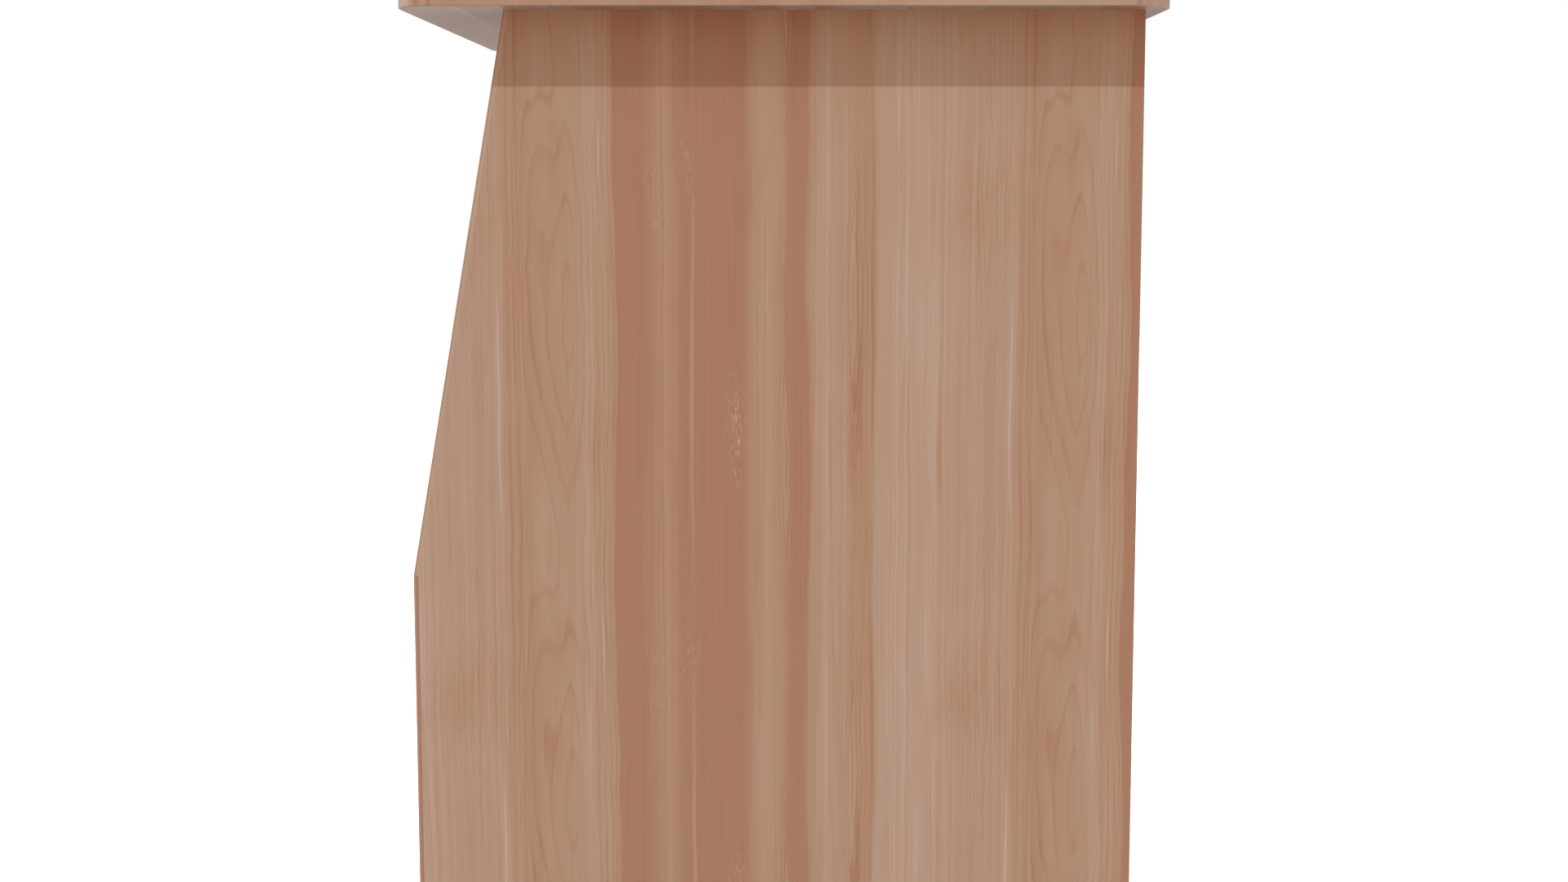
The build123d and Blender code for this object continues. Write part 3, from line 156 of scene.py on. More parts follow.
# Noise between these values turns into blotches in the smudges and into flecks.
BLOTCH_EDGE = (0.22, 0.78)
SPECK_EDGE = (0.50, 0.68)

# Tone of the darkest line and of the palest one, and the colours of tones between them.
DARKEST_TONE = -0.3
PALEST_TONE = 1.3
WOOD = [
    (-0.3, (0.236, 0.098, 0.053)), (0.0, (0.256, 0.114, 0.066)), (0.5, (0.298, 0.164, 0.106)),
    (1.0, (0.324, 0.207, 0.151)), (1.3, (0.342, 0.236, 0.180)),
]
BEECH = [(-0.3, (0.36, 0.22, 0.11)), (0.5, (0.52, 0.36, 0.21)), (1.3, (0.64, 0.48, 0.31))]
# Painted light: a cooler, greyer tint on the desk top's downward faces, standing in for the white floor's
# light reflected there and offsetting the warm room light.
UNDERSIDE_PAINTED_LIGHT_TINT = (0.86, 0.95, 1.08)
# Painted shade: a warm, darker tint right under the desk top's overhang, standing in for the shade and the
# brown bounce light there, and the length in mm over which it fades.
OVERHANG_PAINTED_SHADE_TINT = (1.075, 0.865, 0.69)
OVERHANG_PAINTED_SHADE_FADE = 28.0

# ---- Surfaces ----
# A surface belongs to a face of the board if it looks along its normal to within about 45 degrees, and it has
# the lower sheet if it looks down to within 60 degrees. Both are cosines.
FACING = 0.71
LOOKS_DOWN = 0.5
LAMINATE_IOR = 1.45
LAMINATE_SHINE = 0.22
LAMINATE_BUMP = 0.00006
# Smears on the laminate: size across and along in mm, plane of the noise.
SMEAR = (90, 140, 2.0)
RELIEF_ROUGH, SMEAR_ROUGH = 0.06, 0.10
# Metal: size of the haze in metres, darkest shade, what scratches and haze do to colour and to roughness.
HAZE_SIZE = 0.012
SCRATCHED = 0.78
SCRATCH_SHADE, HAZE_SHADE, SHADE_START = 0.6, 0.5, 0.2
SCRATCH_ROUGH, HAZE_ROUGH = 0.16, 0.14
# Plastic: size of the scuffs in metres, how pale they are, what stipple and scuffs do to roughness.
SCUFF_SIZE = 0.009
SCUFF_GAIN, SCUFF_LIFT = 1.8, 0.02
STIPPLE_ROUGH, SCUFF_ROUGH = 0.15, 0.2
# Edges of the boards, in metres and degrees.
ARRIS = 0.0004
ARRIS_SEGMENTS = 2
ARRIS_ANGLE = 40
WELD_DISTANCE = 0.00001
NORMAL_WEIGHT = 100


class Num:
    """A number in a node tree; arithmetic on it adds math nodes."""

    def __init__(self, tree, socket):
        self.tree = tree
        self.socket = socket

    def op(self, operation, *values, clamp=False):
        return number(self.tree, operation, self, *values, clamp=clamp)

    def __add__(self, other):
        return self.op("ADD", other)

    def __sub__(self, other):
        return self.op("SUBTRACT", other)

    def __rsub__(self, other):
        return number(self.tree, "SUBTRACT", other, self)

    def __mul__(self, other):
        return self.op("MULTIPLY", other)

    def __truediv__(self, other):
        return self.op("DIVIDE", other)

    def __rtruediv__(self, other):
        return number(self.tree, "DIVIDE", other, self)

    __radd__ = __add__
    __rmul__ = __mul__

    def clamped(self):
        """The number, kept between 0 and 1."""
        return self.op("ADD", 0.0, clamp=True)

    def repeated(self, length):
        """The place inside one repeat, from 0 to length."""
        return self.op("WRAP", length, 0.0)

    def around(self, centre, length):
        """Distance from the nearest repeat of a centre."""
        return (self - centre).op("WRAP", length / 2, -length / 2)


def feed(tree, socket, value):
    """Link or set an input."""
    if isinstance(value, Num):
        tree.links.new(value.socket, socket)
    elif isinstance(value, bpy.types.NodeSocket):
        tree.links.new(value, socket)
    else:
        socket.default_value = value


def number(tree, operation, *values, clamp=False):
    """A math node."""
    node = tree.nodes.new("ShaderNodeMath")
    node.operation = operation
    node.use_clamp = clamp
    for socket, value in zip(node.inputs, values):
        feed(tree, socket, value)
    return Num(tree, node.outputs[0])


def noise(tree, x, y, z=0.0, detail=2.0, rough=0.5):
    """Smooth noise about 0.5 at a place given in units of its own grain."""
    place = tree.nodes.new("ShaderNodeCombineXYZ")
    for socket, value in zip(place.inputs, (x, y, z)):
        feed(tree, socket, value)
    texture = tree.nodes.new("ShaderNodeTexNoise")
    texture.inputs["Scale"].default_value = 1.0
    texture.inputs["Detail"].default_value = detail
    texture.inputs["Roughness"].default_value = rough
    tree.links.new(place.outputs[0], texture.inputs["Vector"])
    return Num(tree, texture.outputs[0])


def grain(first, second, layer):
    """A layer of the pattern's noise at a place in millimetres."""
    first_size, second_size, plane, detail, rough = layer
    return noise(first.tree, first / first_size, second / second_size, plane, detail, rough)


def hill(x, half):
    """1 at x = 0, falling to 0 at half on both sides."""
    return (1.0 - (x / half).op("POWER", 2.0)).op("MAXIMUM", 0.0)


def step_up(x, low, high):
    """0 below low, 1 above high, smooth between; x is a Num."""
    node = x.tree.nodes.new("ShaderNodeMapRange")
    node.interpolation_type = "SMOOTHSTEP"
    feed(x.tree, node.inputs["Value"], x)
    node.inputs["From Min"].default_value = low
    node.inputs["From Max"].default_value = high
    return Num(x.tree, node.outputs[0])


def ramp(tree, value, stops):
    """Colour ramp; a stop's colour may be one grey number or three."""
    node = tree.nodes.new("ShaderNodeValToRGB")
    elements = node.color_ramp.elements
    while len(elements) < len(stops):
        elements.new(0.5)
    for element, (place, colour) in zip(elements, stops):
        element.position = place
        rgb = (colour,) * 3 if isinstance(colour, (int, float)) else colour
        element.color = (*rgb, 1.0)
    feed(tree, node.inputs["Fac"], value)
    return node.outputs["Color"]


def oval(u, v, centre_u, centre_v, half_u, half_v):
    """Squared distance from a centre in units of the half sizes, repeated with the pattern."""
    across = u.around(centre_u, TILE_ACROSS) / half_u
    along = v.around(centre_v, TILE_ALONG) / half_v
    return across * across + along * along


def patch(u, v, centre_u, centre_v, half_u, half_v):
    """1 at the centre, falling to 0 at the half sizes."""
    return (1.0 - oval(u, v, centre_u, centre_v, half_u, half_v)).clamped()


def lens(u, v, centre_u, centre_v, left, right, half_v):
    """Squared ring number of nested loops with pointed ends; the first loop is 1."""
    across = u.around(centre_u, TILE_ACROSS)
    widths = across.op("MAXIMUM", 0.0) / right - across.op("MINIMUM", 0.0) / left
    along = v.around(centre_v, TILE_ALONG) / half_v
    return widths + along * along


def wave(v, centre):
    """A cosine along the grain, 1 at the centre, that closes on itself over one repeat."""
    turn = (v - centre) * (2 * math.pi / TILE_ALONG)
    return turn.op("COSINE")


def ring_number(u, centre, left, right, soft):
    """Rings counted across from a centre: mm to a ring on the left and right; soft rounds the turn."""
    across = u.around(centre, TILE_ACROSS)
    root = (across * across + soft * soft).op("SQRT")
    still = soft / 2 * (1 / right + 1 / left)
    return (root + across) / (2 * right) + (root - across) / (2 * left) - still


def calm(u, centre, reach):
    """1 on one side of a centre, falling to 0 on the side that reach points to."""
    across = (u.around(centre, TILE_ACROSS) / reach).op("MAXIMUM", 0.0)
    return 1.0 / (across * across + 1.0)


def crowd(distance, start, steepness):
    """Ring numbers to add beyond a distance from the centre."""
    return (distance - start).op("MAXIMUM", 0.0) * steepness


def cathedral(u, v):
    """Nested arches of grain: rings about the heart, joined to rings about the tongue beside it."""
    tree = u.tree
    from_heart = u.around(HEART_ACROSS, TILE_ACROSS)
    from_tongue = u.around(TONGUE_ACROSS, TILE_ACROSS)
    heart_climb = (1.0 - wave(v, HEART_ALONG)) * ARCH_CLIMB
    heart = ring_number(u, HEART_ACROSS, *HEART_STEPS, HEART_SOFT)
    heart = heart + heart_climb * calm(u, HEART_ACROSS, HEART_CALM)
    heart = heart + crowd(from_heart * -1.0, *HEART_CROWDS)
    tongue_climb = (1.0 - wave(v, TONGUE_ALONG)) * ARCH_CLIMB
    tongue = ring_number(u, TONGUE_ACROSS, *TONGUE_STEPS, TONGUE_SOFT)
    tongue = tongue + tongue_climb * calm(u, TONGUE_ACROSS, TONGUE_CALM) + TONGUE_BEHIND
    tongue = tongue + crowd(from_tongue, *TONGUE_CROWDS)
    rings = heart.op("SMOOTH_MIN", tongue, ARCH_JOIN)

    grains, plane, amount = UNEVEN
    uneven = (noise(tree, rings * grains, 0.0, plane, detail=1.0) - NOISE_MEAN) * amount
    rise = ((rings + RING_START) / RING_GAP + uneven).op("FRACT")
    middle, half = RING_MIDDLE
    line = hill(rise - middle, half) * step_up(rings, *RING_FADE)
    grains, length, plane, edges, gain, least = RING_DEPTH
    depth = step_up(noise(tree, rings * grains, v / length, plane, detail=1.0), *edges) * gain + least
    core = oval(u, v, HEART_ACROSS, HEART_ALONG, *CORE_HALVES).op("SQRT")
    core_line = hill(core - 1.0, CORE_LINE)

    by_heart = 1.0 - step_up(from_heart.op("ABSOLUTE"), *HEART_FADE)
    by_seam = 1.0 - step_up(u.around(0, TILE_ACROSS).op("ABSOLUTE"), *SEAM_FADE)
    near = by_heart.op("MAXIMUM", by_seam)
    shading = (SHADE_MIDDLE - rise) * RING_SHADE
    return (line * depth * -RING_LINE + shading - core_line * CORE_DARK) * near


def loop(u, v, centre_u, centre_v, left, right, half_v, strength):
    """One closed loop of grain with two fainter ones around it."""
    size = lens(u, v, centre_u, centre_v, left, right, half_v)
    rise = (size / LOOP_GAP - LOOP_START).op("FRACT")
    fade = (1.0 - size / LOOP_REACH).clamped()
    inside = (1.0 - size).clamped()
    middle, half = LOOP_LINE
    return (inside * LOOP_PALE - hill(rise - middle, half) * fade * LOOP_DARK) * strength


def streak(u, v, centre_u, centre_v, half_u, half_v, strength):
    """A thin line along the grain that fades to its ends."""
    middle = hill(u.around(centre_u, TILE_ACROSS), half_u)
    return middle * hill(v.around(centre_v, TILE_ALONG), half_v) * strength


def swing(across, v, centre, reach, furthest, size):
    """Sideways move of the bands near a centre; it repeats with the pattern."""
    return hill(across.around(centre, TILE_ACROSS), reach) * wave(v, furthest) * size


def pattern_group():
    """The printed pattern: across and along in mm give its tone and the height of its pores."""
    tree = bpy.data.node_groups.new("laminate_pattern", "ShaderNodeTree")
    for name in ("Across", "Along"):
        tree.interface.new_socket(name, in_out="INPUT", socket_type="NodeSocketFloat")
    for name in ("Tone", "Relief"):
        tree.interface.new_socket(name, in_out="OUTPUT", socket_type="NodeSocketFloat")
    given = tree.nodes.new("NodeGroupInput")
    result = tree.nodes.new("NodeGroupOutput")
    across = Num(tree, given.outputs["Across"])
    v = Num(tree, given.outputs["Along"])

    sway = grain(v, across, SWAY) - NOISE_MEAN
    ripple = grain(v, across, RIPPLE) - NOISE_MEAN
    shiver = grain(v, across, SHIVER) - NOISE_MEAN
    bent = across + sway * SWAY_MOVE + ripple * RIPPLE_MOVE + shiver * SHIVER_MOVE
    for swinging in SWINGS:
        bent = bent - swing(across, v, *swinging)
    u = bent.repeated(TILE_ACROSS)
    straight = (across + sway * STRAIGHT_SWAY).repeated(TILE_ACROSS)

    stops = [(place / TILE_ACROSS, tone) for place, tone in BANDS]
    tone = Num(tree, ramp(tree, u / TILE_ACROSS, stops))
    figure = (tone * FIGURE_GAIN + FIGURE_LEAST).clamped()
    lively = grain(straight, v, LIVELY) * LIVELY_GAIN + LIVELY_LEAST

    # Straight grain: the contour lines of a field drawn out along the board, and strands.
    contour = (grain(straight, v, CONTOUR) * CONTOURS).op("FRACT")
    strand = grain(straight, v, STRAND) - NOISE_MEAN
    broad = grain(straight, v, BROAD) - NOISE_MEAN
    fine = grain(bent, v, FINE) - NOISE_MEAN
    weave = grain(across, v, WEAVE) - NOISE_MEAN
    cloud = grain(v, across, CLOUD) - NOISE_MEAN
    drift = grain(straight, v, DRIFT) - NOISE_MEAN
    quiet_centre, quiet_half, quieter = QUIET
    quiet = 1.0 - hill(u.around(quiet_centre, TILE_ACROSS), quiet_half) * quieter
    lines = (0.5 - contour) * CONTOUR_TONE + strand * STRAND_TONE + broad * BROAD_TONE
    lines = lines * lively * quiet
    lines = lines + fine * FINE_TONE + weave * WEAVE_TONE + cloud * CLOUD_TONE + drift * DRIFT_TONE
    tone = tone + lines * figure

    wander = (grain(v, across, WANDER) - NOISE_MEAN) * WANDER_MOVE
    tone = tone + cathedral(u + wander, v) * ARCHES
    for eye in EYES:
        tone = tone + loop(u + wander * LOOP_WANDER, v, *eye)
    for glint in GLINTS:
        tone = tone + streak(straight, v, *glint)
    for vein in VEINS:
        tone = tone - streak(straight, v, *vein)
    blotches = step_up(grain(straight, v, BLOTCH), *BLOTCH_EDGE)
    for *place, strength in SMUDGES:
        tone = tone - patch(u, v, *place) * blotches * strength
    specks = step_up(grain(across, v, SPECK), *SPECK_EDGE)
    for *place, strength in FLECKS:
        tone = tone + patch(u, v, *place) * specks * strength

    tree.links.new(tone.socket, result.inputs["Tone"])
    relief = fine * FINE_RELIEF + strand * STRAND_RELIEF + weave * WEAVE_RELIEF
    tree.links.new(relief.socket, result.inputs["Relief"])
    return tree


PATTERN = pattern_group()


def dot(tree, socket, direction):
    """Length of a vector along a direction."""
    node = tree.nodes.new("ShaderNodeVectorMath")
    node.operation = "DOT_PRODUCT"
    tree.links.new(socket, node.inputs[0])
    node.inputs[1].default_value = direction
    return Num(tree, node.outputs["Value"])


def new_material(name):
    """A material, its node tree and its shader."""
    material = bpy.data.materials.new(name)
    material.use_nodes = True
    tree = material.node_tree
    shader = tree.nodes["Principled BSDF"]
    return material, tree, shader


def put_bump(tree, shader, height, depth):
    """Bump of a given depth in metres."""
    node = tree.nodes.new("ShaderNodeBump")
    node.inputs["Distance"].default_value = depth
    feed(tree, node.inputs["Height"], height)
    tree.links.new(node.outputs["Normal"], shader.inputs["Normal"])


def wood_colour(tree, tone, colours):
    """Colour of a tone, from the colours given for some tones."""
    span = PALEST_TONE - DARKEST_TONE
    stops = [((place - DARKEST_TONE) / span, colour) for place, colour in colours]
    return ramp(tree, ((tone - DARKEST_TONE) / span).clamped(), stops)


def tinted(tree, factor, colour, tint):
    """A colour, multiplied by a tint where the factor is 1."""
    node = tree.nodes.new("ShaderNodeMix")
    node.data_type = "RGBA"
    node.blend_type = "MULTIPLY"
    feed(tree, node.inputs["Factor"], factor)
    feed(tree, node.inputs["A"], colour)
    node.inputs["B"].default_value = (*tint, 1.0)
    return node.outputs["Result"]


def laminate(name, faces, shift=(0.0, 0.0), contrast=1.0, level=0.0, colours=WOOD, rough=0.46, accent=None,
             painted_underside_light=None, painted_overhang_shade=False):
    """Wood laminate. faces: (normal, across, along) for each way a surface may look; shift in mm.

    accent: gives a tone to add at a place across, for a piece with its own stripes.
    painted_underside_light: a cooler, greyer tint painted on the downward faces, standing in for the floor's
    light reflected there.
    painted_overhang_shade: whether the piece reaches up under the overhang and gets the painted warm shade
    there.
    """
    material, tree, shader = new_material(name)
    coordinates = tree.nodes.new("ShaderNodeTexCoord")
    across = 0.0
    along = 0.0
    for normal, u_axis, v_axis in faces:
        facing = dot(tree, coordinates.outputs["Normal"], normal).op("ABSOLUTE").op("GREATER_THAN", FACING)
        across = dot(tree, coordinates.outputs["Object"], u_axis) * facing * MM + across
        along = dot(tree, coordinates.outputs["Object"], v_axis) * facing * MM + along
    pattern = tree.nodes.new("ShaderNodeGroup")
    pattern.node_tree = PATTERN
    feed(tree, pattern.inputs["Across"], across + shift[0])
    feed(tree, pattern.inputs["Along"], along + shift[1])
    tone = (Num(tree, pattern.outputs["Tone"]) - 0.5) * contrast + (0.5 + level)
    if accent:
        tone = tone + accent(across)
    colour = wood_colour(tree, tone, colours)
    # Painted light: faces that look down get a cooler, greyer tint for the floor's light reflected on them.
    if painted_underside_light:
        looks_down = dot(tree, coordinates.outputs["Normal"], -Z).op("GREATER_THAN", LOOKS_DOWN)
        colour = tinted(tree, looks_down, colour, painted_underside_light)
    # Painted shade: the colour turns warmer and darker towards the desk top's underside, for the shade and
    # the brown bounce light under the overhang.
    if painted_overhang_shade:
        below = (underside - dot(tree, coordinates.outputs["Object"], Z)) * MM
        painted_shade_amount = (below / -OVERHANG_PAINTED_SHADE_FADE).op("EXPONENT").clamped()
        colour = tinted(tree, painted_shade_amount, colour, OVERHANG_PAINTED_SHADE_TINT)
    feed(tree, shader.inputs["Base Color"], colour)
    relief = Num(tree, pattern.outputs["Relief"])
    smear_across, smear_along, plane = SMEAR
    smear = noise(tree, across / smear_across, along / smear_along, plane, detail=3.0) - NOISE_MEAN
    feed(tree, shader.inputs["Roughness"], relief * RELIEF_ROUGH + smear * SMEAR_ROUGH + rough)
    shader.inputs["IOR"].default_value = LAMINATE_IOR
    shader.inputs["Specular IOR Level"].default_value = LAMINATE_SHINE
    put_bump(tree, shader, relief, LAMINATE_BUMP)
    return material


def metal(name, colour, rough, streak=(1, 1, 1), size=0.0006, depth=0.00001):
    """Metal with fine scratches, drawn out along the axes where streak is large. Sizes are in metres."""
    material, tree, shader = new_material(name)
    place = tree.nodes.new("ShaderNodeTexCoord").outputs["Object"]
    coords = [dot(tree, place, axis) / (size * pull) for axis, pull in zip((X, Y, Z), streak)]
    scratches = noise(tree, *coords, detail=3.0, rough=0.65)
    wide = [dot(tree, place, axis) / HAZE_SIZE for axis in (X, Y, Z)]
    haze = noise(tree, *wide, detail=3.0) - NOISE_MEAN
    dark = tuple(channel * SCRATCHED for channel in colour)
    shading = scratches * SCRATCH_SHADE + haze * HAZE_SHADE + SHADE_START
    shade = ramp(tree, shading, [(0.2, dark), (0.7, colour)])
    tree.links.new(shade, shader.inputs["Base Color"])
    shader.inputs["Metallic"].default_value = 1.0
    uneven = (scratches - NOISE_MEAN) * SCRATCH_ROUGH + haze * HAZE_ROUGH
    feed(tree, shader.inputs["Roughness"], uneven + rough)
    put_bump(tree, shader, scratches, depth)
    return material


def plastic(name, colour, rough, size=0.0009, depth=0.00004):
    """Moulded plastic or rubber with a fine stipple and slight scuffs. Sizes are in metres."""
    material, tree, shader = new_material(name)
    place = tree.nodes.new("ShaderNodeTexCoord").outputs["Object"]
    coords = [dot(tree, place, axis) for axis in (X, Y, Z)]
    stipple = noise(tree, *[c / size for c in coords], detail=2.0)
    scuffs = noise(tree, *[c / SCUFF_SIZE for c in coords], detail=5.0, rough=0.7)
    worn = tuple(min(1.0, channel * SCUFF_GAIN + SCUFF_LIFT) for channel in colour)
    shade = ramp(tree, scuffs, [(0.45, colour), (0.75, worn)])
    tree.links.new(shade, shader.inputs["Base Color"])
    uneven = (stipple - NOISE_MEAN) * STIPPLE_ROUGH + (scuffs - NOISE_MEAN) * SCUFF_ROUGH
    feed(tree, shader.inputs["Roughness"], uneven + rough)
    put_bump(tree, shader, stipple, depth)
    return material


def dress(material, *names):
    """Give CAD nodes a material."""
    for name in names:
        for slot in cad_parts[name].material_slots:
            slot.link = "OBJECT"
            slot.material = material


def soften(*names):
    """Take the sharpness off CAD nodes' edges with modifiers."""
    for name in names:
        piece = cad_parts[name]
        weld = piece.modifiers.new("weld", "WELD")
        weld.merge_threshold = WELD_DISTANCE
        bevel = piece.modifiers.new("arris", "BEVEL")
        bevel.width = ARRIS
        bevel.segments = ARRIS_SEGMENTS
        bevel.limit_method = "ANGLE"
        bevel.angle_limit = math.radians(ARRIS_ANGLE)
        bevel.use_clamp_overlap = True
        normals = piece.modifiers.new("normals", "WEIGHTED_NORMAL")
        normals.keep_sharp = False
        normals.weight = NORMAL_WEIGHT


# ---- Wood ----
slab_low, slab_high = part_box("desk_top_edge_band")
underside = slab_low.z
half_depth = slab_high.y * MM

READING_SLOPE = math.radians(14.0)
down_slope = Vector((0, math.cos(READING_SLOPE), -math.sin(READING_SLOPE)))
off_slope = Vector((0, math.sin(READING_SLOPE), math.cos(READING_SLOPE)))

# The ways the surfaces of a board look: normal, axis across the grain, axis along it.
UPRIGHT = [(X, Y, -Z), (Y, X, -Z), (Z, Y, X)]
LEVEL = [(Z, Y, X), (Y, Z, X), (X, Y, -Z)]
SLOPING = [(off_slope, down_slope, X), (down_slope, off_slope, X), (X, down_slope, off_slope)]
CHEEK = [(X, Y, Z), (Y, X, Z), (off_slope, X, Y)]
CROSSWAYS = [(Y, Z, X), (Z, Y, X), (X, Y, Z)]

# On the right side panel the pattern lies as in the photo; the left one shows another part of it.
right_shift = (-slab_low.y * MM - TILE_START, underside * MM)
left_shift = (right_shift[0] + 163, right_shift[1] + 210)

# Boards that reach up under the overhang, then the others: node, material, ways its surfaces look, shift of
# the pattern in mm.
TALL_BOARDS = [
    ("side_panel_right", "laminate_side_right", UPRIGHT, right_shift),
    ("side_panel_left", "laminate_side_left", UPRIGHT, left_shift),
    ("front_panel_upper", "laminate_front_upper", UPRIGHT, (310, 1180)),
]
OTHER_BOARDS = [
    ("front_panel_lower", "laminate_front_lower", UPRIGHT, (310, 1180)),
    ("reading_board", "laminate_reading", SLOPING, (20, 250)),
    ("fixed_strip", "laminate_strip", SLOPING, (145, 180)),
    ("door", "laminate_door", UPRIGHT, (258, 900)),
    ("tray_cheek_right", "laminate_cheek_right", CHEEK, (45, 40)),
    ("tray_cheek_left", "laminate_cheek_left", CHEEK, (190, 300)),
    ("tray_front", "laminate_tray_front", CROSSWAYS, (272, 90)),
    ("tray_rail", "laminate_tray_rail", CROSSWAYS, (140, 350)),
    ("top_rail", "laminate_top_rail", CROSSWAYS, (300, 130)),
    ("rear_plinth", "laminate_plinth", CROSSWAYS, (30, 30)),
    ("bottom_panel", "laminate_bottom", LEVEL, (330, 10)),
    ("fixed_shelf", "laminate_shelf", LEVEL, (140, 170)),
    ("adjustable_shelf", "laminate_loose_shelf", LEVEL, (60, 330)),
]
# The tall boards get the painted warm shade under the overhang; the others do not.
for node_name, material_name, surfaces, pattern_shift in TALL_BOARDS:
    dress(laminate(material_name, surfaces, pattern_shift, painted_overhang_shade=True), node_name)
for node_name, material_name, surfaces, pattern_shift in OTHER_BOARDS:
    dress(laminate(material_name, surfaces, pattern_shift), node_name)
# The desk top's underside gets the painted floor light.
dress(laminate("laminate_top", LEVEL, (232, 60), rough=0.50, painted_underside_light=UNDERSIDE_PAINTED_LIGHT_TINT), "desk_top")

upright_band = laminate("band_upright", UPRIGHT, (345, 0), contrast=0.8, level=-0.05)
level_band = laminate("band_level", [(Y, Z, X), (Z, Y, X), (X, Y, X)], (285, 70), contrast=0.7)
dress(upright_band, "side_rear_edge_bands", "door_edge_band")
dress(level_band, "shelf_edge_bands")
dress(laminate("band_reading", SLOPING, (280, 40), contrast=0.7), "reading_board_edge_band")
dress(laminate("ledge_wood", SLOPING, (296, 200), contrast=0.8), "book_ledge")
plain_beech = laminate("plain_beech", UPRIGHT, contrast=0.8, colours=BEECH, rough=0.6)
dress(plain_beech, "wood_dowels", "foot_blocks")

# The desk top's edge band, in mm from its ends: middle of a stripe, half its width, tone. The pale end is at
# the rear, between two distances; the patches are measured from the middle.
FRONT_STRIPES = [(8.0, 2.8, -0.55), (13.0, 2.2, 0.30), (18.3, 3.2, -0.32)]
STRIPE_AT_BOTH = (29.0, 2.6, -0.38)
PALE_END = (6, 27, 0.75)
INWARD = (20, 60, 0.11)
PATCHES = [(-27, 9, -0.18), (20, 8, -0.15)]
TILT = 0.20


def stripe(place, middle, half, tone):
    """Tone of one stripe at a place."""
    return hill(place - middle, half) * tone


def edge_accent(across):
    """Growth lines near the front corners of the desk top, a pale end at the rear ones, patches between."""
    from_end = half_depth - across.op("ABSOLUTE")
    at_front = across.op("LESS_THAN", 0.0)
    front = sum(stripe(from_end, *row) for row in FRONT_STRIPES) * at_front
    pale_from, pale_to, pale_tone = PALE_END
    pale = (1.0 - step_up(from_end, pale_from, pale_to)) * (1.0 - at_front) * pale_tone
    inward_from, inward_to, inward_tone = INWARD
    inward = step_up(from_end, inward_from, inward_to) * inward_tone
    patches = sum(stripe(across, *row) for row in PATCHES)
    return front + stripe(from_end, *STRIPE_AT_BOTH) + pale + inward + patches + across / half_depth * TILT


band_top = laminate("band_top", UPRIGHT, (590, 0), contrast=0.30, rough=0.5, accent=edge_accent)
dress(band_top, "desk_top_edge_band")

# The sides' front edges carry narrow lippings; the upper ones follow the slant.
SLANT = math.radians(10.0)
across_slant = Vector((0, math.cos(SLANT), -math.sin(SLANT)))
along_slant = Vector((0, -math.sin(SLANT), -math.cos(SLANT)))
LEANING = [(X, across_slant, along_slant), (across_slant, X, along_slant), (Z, Y, X)]
lipping_low, lipping_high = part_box("front_lipping_lower_right")
kink = Vector((0, lipping_low.y, lipping_high.z))
# A line of the grain parts the outer tone from the inner one, between these distances from the edge in mm.
PARTING = (1.2, 2.1)


def two_tone(edge, outer, inner):
    """Tones of a lipping on both sides of its parting line."""
    return lambda across: step_up(across - edge, *PARTING) * (inner - outer) + outer


lower_tones = two_tone(kink.y * MM, 0.05, -0.40)
upper_tones = two_tone(kink.dot(across_slant) * MM, -0.15, 0.50)
lipping_lower = laminate("lipping_lower", UPRIGHT, contrast=0.3, accent=lower_tones)
# The upper lippings get the painted warm shade under the overhang too.
lipping_upper = laminate("lipping_upper", LEANING, contrast=0.3, accent=upper_tones, painted_overhang_shade=True)
dress(lipping_lower, "front_lipping_lower_right", "front_lipping_lower_left")
dress(lipping_upper, "front_lipping_upper_right", "front_lipping_upper_left")

# ---- Metal, plastic, rubber ----
ZINC = (0.56, 0.56, 0.58)
CAST_ZINC = (0.48, 0.48, 0.50)
SATIN_NICKEL = (0.50, 0.485, 0.46)
CHROME = (0.60, 0.60, 0.62)
BLACK = (0.022, 0.022, 0.024)
RUBBER = (0.045, 0.043, 0.04)
ALONG_X = (14, 1, 1)
ALONG_Z = (1, 1, 14)
zinc = metal("zinc_plate", ZINC, 0.34)
nickel = metal("satin_nickel", SATIN_NICKEL, 0.30, streak=ALONG_Z)
dress(zinc, "angle_brackets", "cabinet_screws", "door_screws", "reading_board_screws", "cam_bolts")
dress(zinc, "shelf_pins", "foot_inserts", "lock_nut", "lock_cam", "lock_strike", "catch_plate")
dress(zinc, "door_hinge_pins", "lid_hinge_pins")
dress(nickel, "door_hinge_side_leaves", "door_hinge_door_leaves", "flush_pull")
dress(metal("satin_nickel_across", SATIN_NICKEL, 0.30, streak=ALONG_X), "lid_hinge_strip_leaves")
dress(metal("satin_nickel_board", SATIN_NICKEL, 0.30, streak=ALONG_X), "lid_hinge_board_leaves")
dress(metal("cast_zinc", CAST_ZINC, 0.48, size=0.0004), "cam_locks")
dress(metal("lock_chrome", CHROME, 0.16, depth=0.000004), "lock_housing", "lock_plug")
black = plastic("black_plastic", BLACK, 0.48)
dress(black, "magnetic_catch")
dress(plastic("bumper_rubber", RUBBER, 0.75), "lid_bumpers")
for corner in ("front_right", "front_left", "rear_right", "rear_left"):
    dress(black, "foot_pad_" + corner)
    dress(zinc, "foot_stem_" + corner)

SOFTENED = [
    "side_panel_right", "side_panel_left", "front_panel_lower", "front_panel_upper", "bottom_panel",
    "fixed_shelf", "adjustable_shelf", "top_rail", "rear_plinth", "tray_cheek_right", "tray_cheek_left",
    "tray_front", "tray_rail", "fixed_strip", "reading_board_edge_band", "door_edge_band",
]
soften(*SOFTENED)

# ---- Floor, light, camera ----
WHITE = (1, 1, 1, 1)
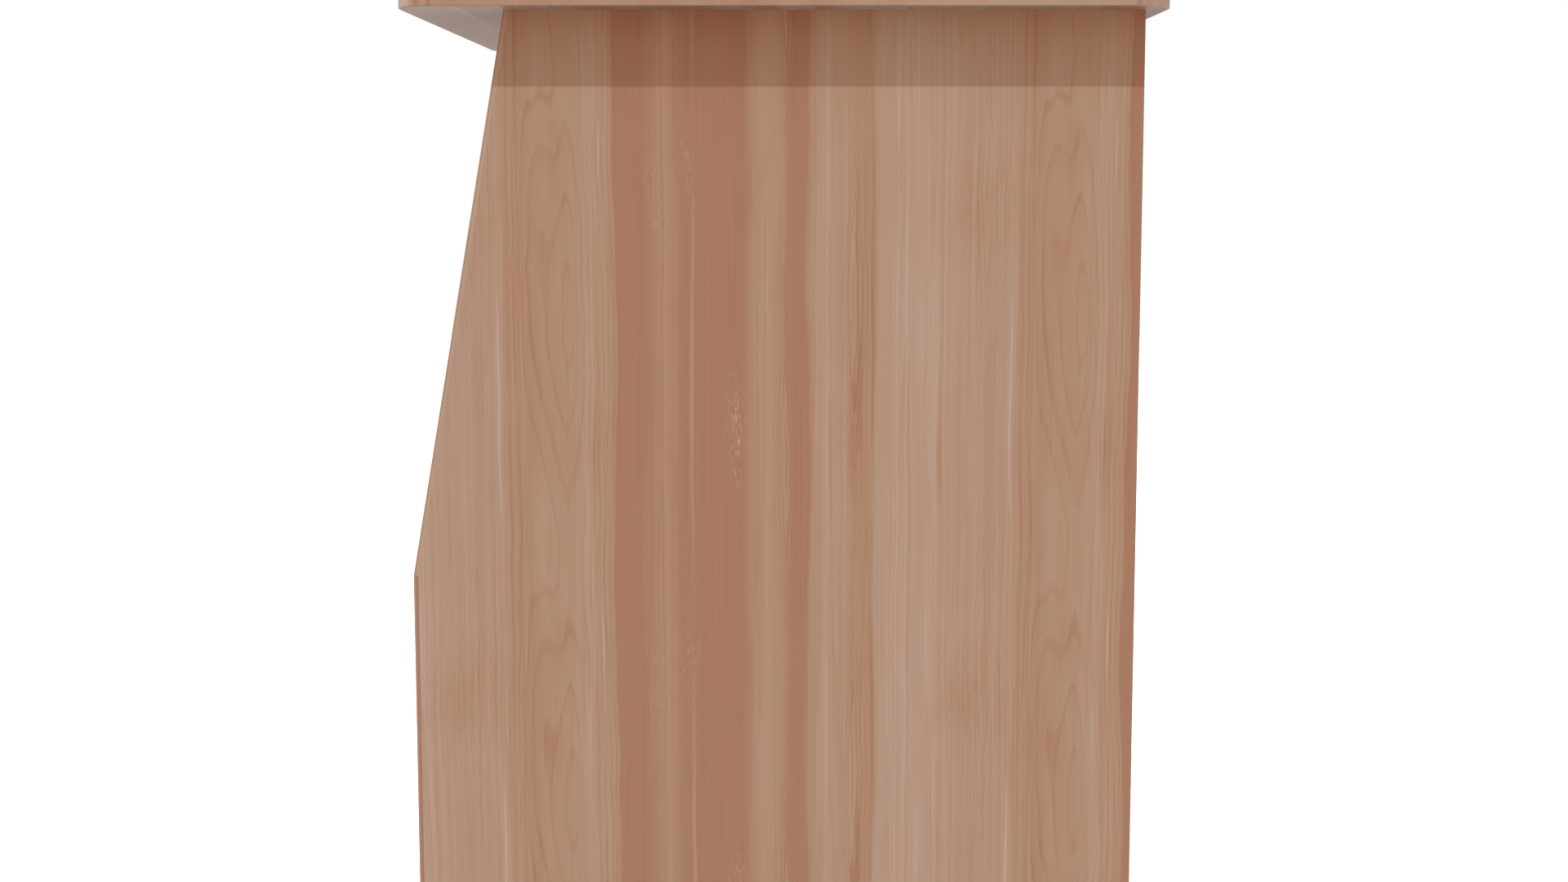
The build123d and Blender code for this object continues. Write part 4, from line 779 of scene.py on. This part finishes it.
# The room's light is warm; the camera sees the floor with the opposite tint, so that it stays white.
ROOM_LIGHT = (1.015, 0.873, 0.765)
FLOOR_TINT = [0.86 / channel for channel in ROOM_LIGHT]
FLOOR_HALF = 9.0
FLOOR_GREYS = (0.78, 0.82)
FLOOR_GRAINS = 30
FLOOR_ROUGH = 0.8
FLOOR_GLOW = 0.45
SUN_FROM = Vector((1.0, -0.75, 1.5))
SUN_ENERGY = 2.86
SUN_COLOUR = (0.685, 0.897, 1.0)
SUN_ANGLE = 1.0
# The camera stands level with the upper cabinet, beside the +X side, and looks down a little.
CAMERA_LENS = 50
CAMERA_SENSOR = 36
CAMERA_FROM_EDGE = 1.6848
CAMERA_BELOW_TOP = 0.1309
CAMERA_PITCH = 6.862


def seen_by_camera(tree):
    """1 for what the camera sees itself, 0 for light that goes on to other things."""
    return Num(tree, tree.nodes.new("ShaderNodeLightPath").outputs["Is Camera Ray"])


def floor_material():
    """Pale matt floor; its glow and its tint are there only for the camera."""
    material, tree, shader = new_material("pale_floor")
    place = tree.nodes.new("ShaderNodeTexCoord").outputs["Object"]
    mottle = noise(tree, dot(tree, place, X) * FLOOR_GRAINS, dot(tree, place, Y) * FLOOR_GRAINS, detail=4.0)
    dark, pale = FLOOR_GREYS
    shade = ramp(tree, mottle, [(0.3, dark), (0.7, pale)])
    feed(tree, shader.inputs["Base Color"], tinted(tree, seen_by_camera(tree), shade, FLOOR_TINT))
    shader.inputs["Roughness"].default_value = FLOOR_ROUGH
    shader.inputs["Emission Color"].default_value = WHITE
    feed(tree, shader.inputs["Emission Strength"], seen_by_camera(tree) * FLOOR_GLOW)
    return material


scene = bpy.context.scene
square = bpy.data.meshes.new("floor")
square.from_pydata([(x, y, 0.0) for x, y in ((-1, -1), (1, -1), (1, 1), (-1, 1))], [], [(0, 1, 2, 3)])
square.materials.append(floor_material())
floor = bpy.data.objects.new("floor", square)
floor.scale = (FLOOR_HALF, FLOOR_HALF, 1)
scene.collection.objects.link(floor)

scene.world = bpy.data.worlds.new("white_room")
scene.world.use_nodes = True
world_tree = scene.world.node_tree
room = world_tree.nodes.new("ShaderNodeMix")
room.data_type = "RGBA"
feed(world_tree, room.inputs["Factor"], seen_by_camera(world_tree))
room.inputs["A"].default_value = (*ROOM_LIGHT, 1)
room.inputs["B"].default_value = WHITE
world_tree.links.new(room.outputs["Result"], world_tree.nodes["Background"].inputs["Color"])
scene.view_settings.view_transform = "Standard"

sun = bpy.data.lights.new("key", "SUN")
sun.energy = SUN_ENERGY
sun.color = SUN_COLOUR
sun.angle = math.radians(SUN_ANGLE)
key = bpy.data.objects.new("key", sun)
key.rotation_euler = SUN_FROM.to_track_quat("Z", "Y").to_euler()
scene.collection.objects.link(key)

view = bpy.data.cameras.new("camera")
view.lens = CAMERA_LENS
view.sensor_width = CAMERA_SENSOR
camera = bpy.data.objects.new("camera", view)
camera.location = (slab_high.x + CAMERA_FROM_EDGE, 0, underside - CAMERA_BELOW_TOP)
camera.rotation_euler = (math.radians(90 - CAMERA_PITCH), 0, math.radians(90))
scene.collection.objects.link(camera)
scene.camera = camera
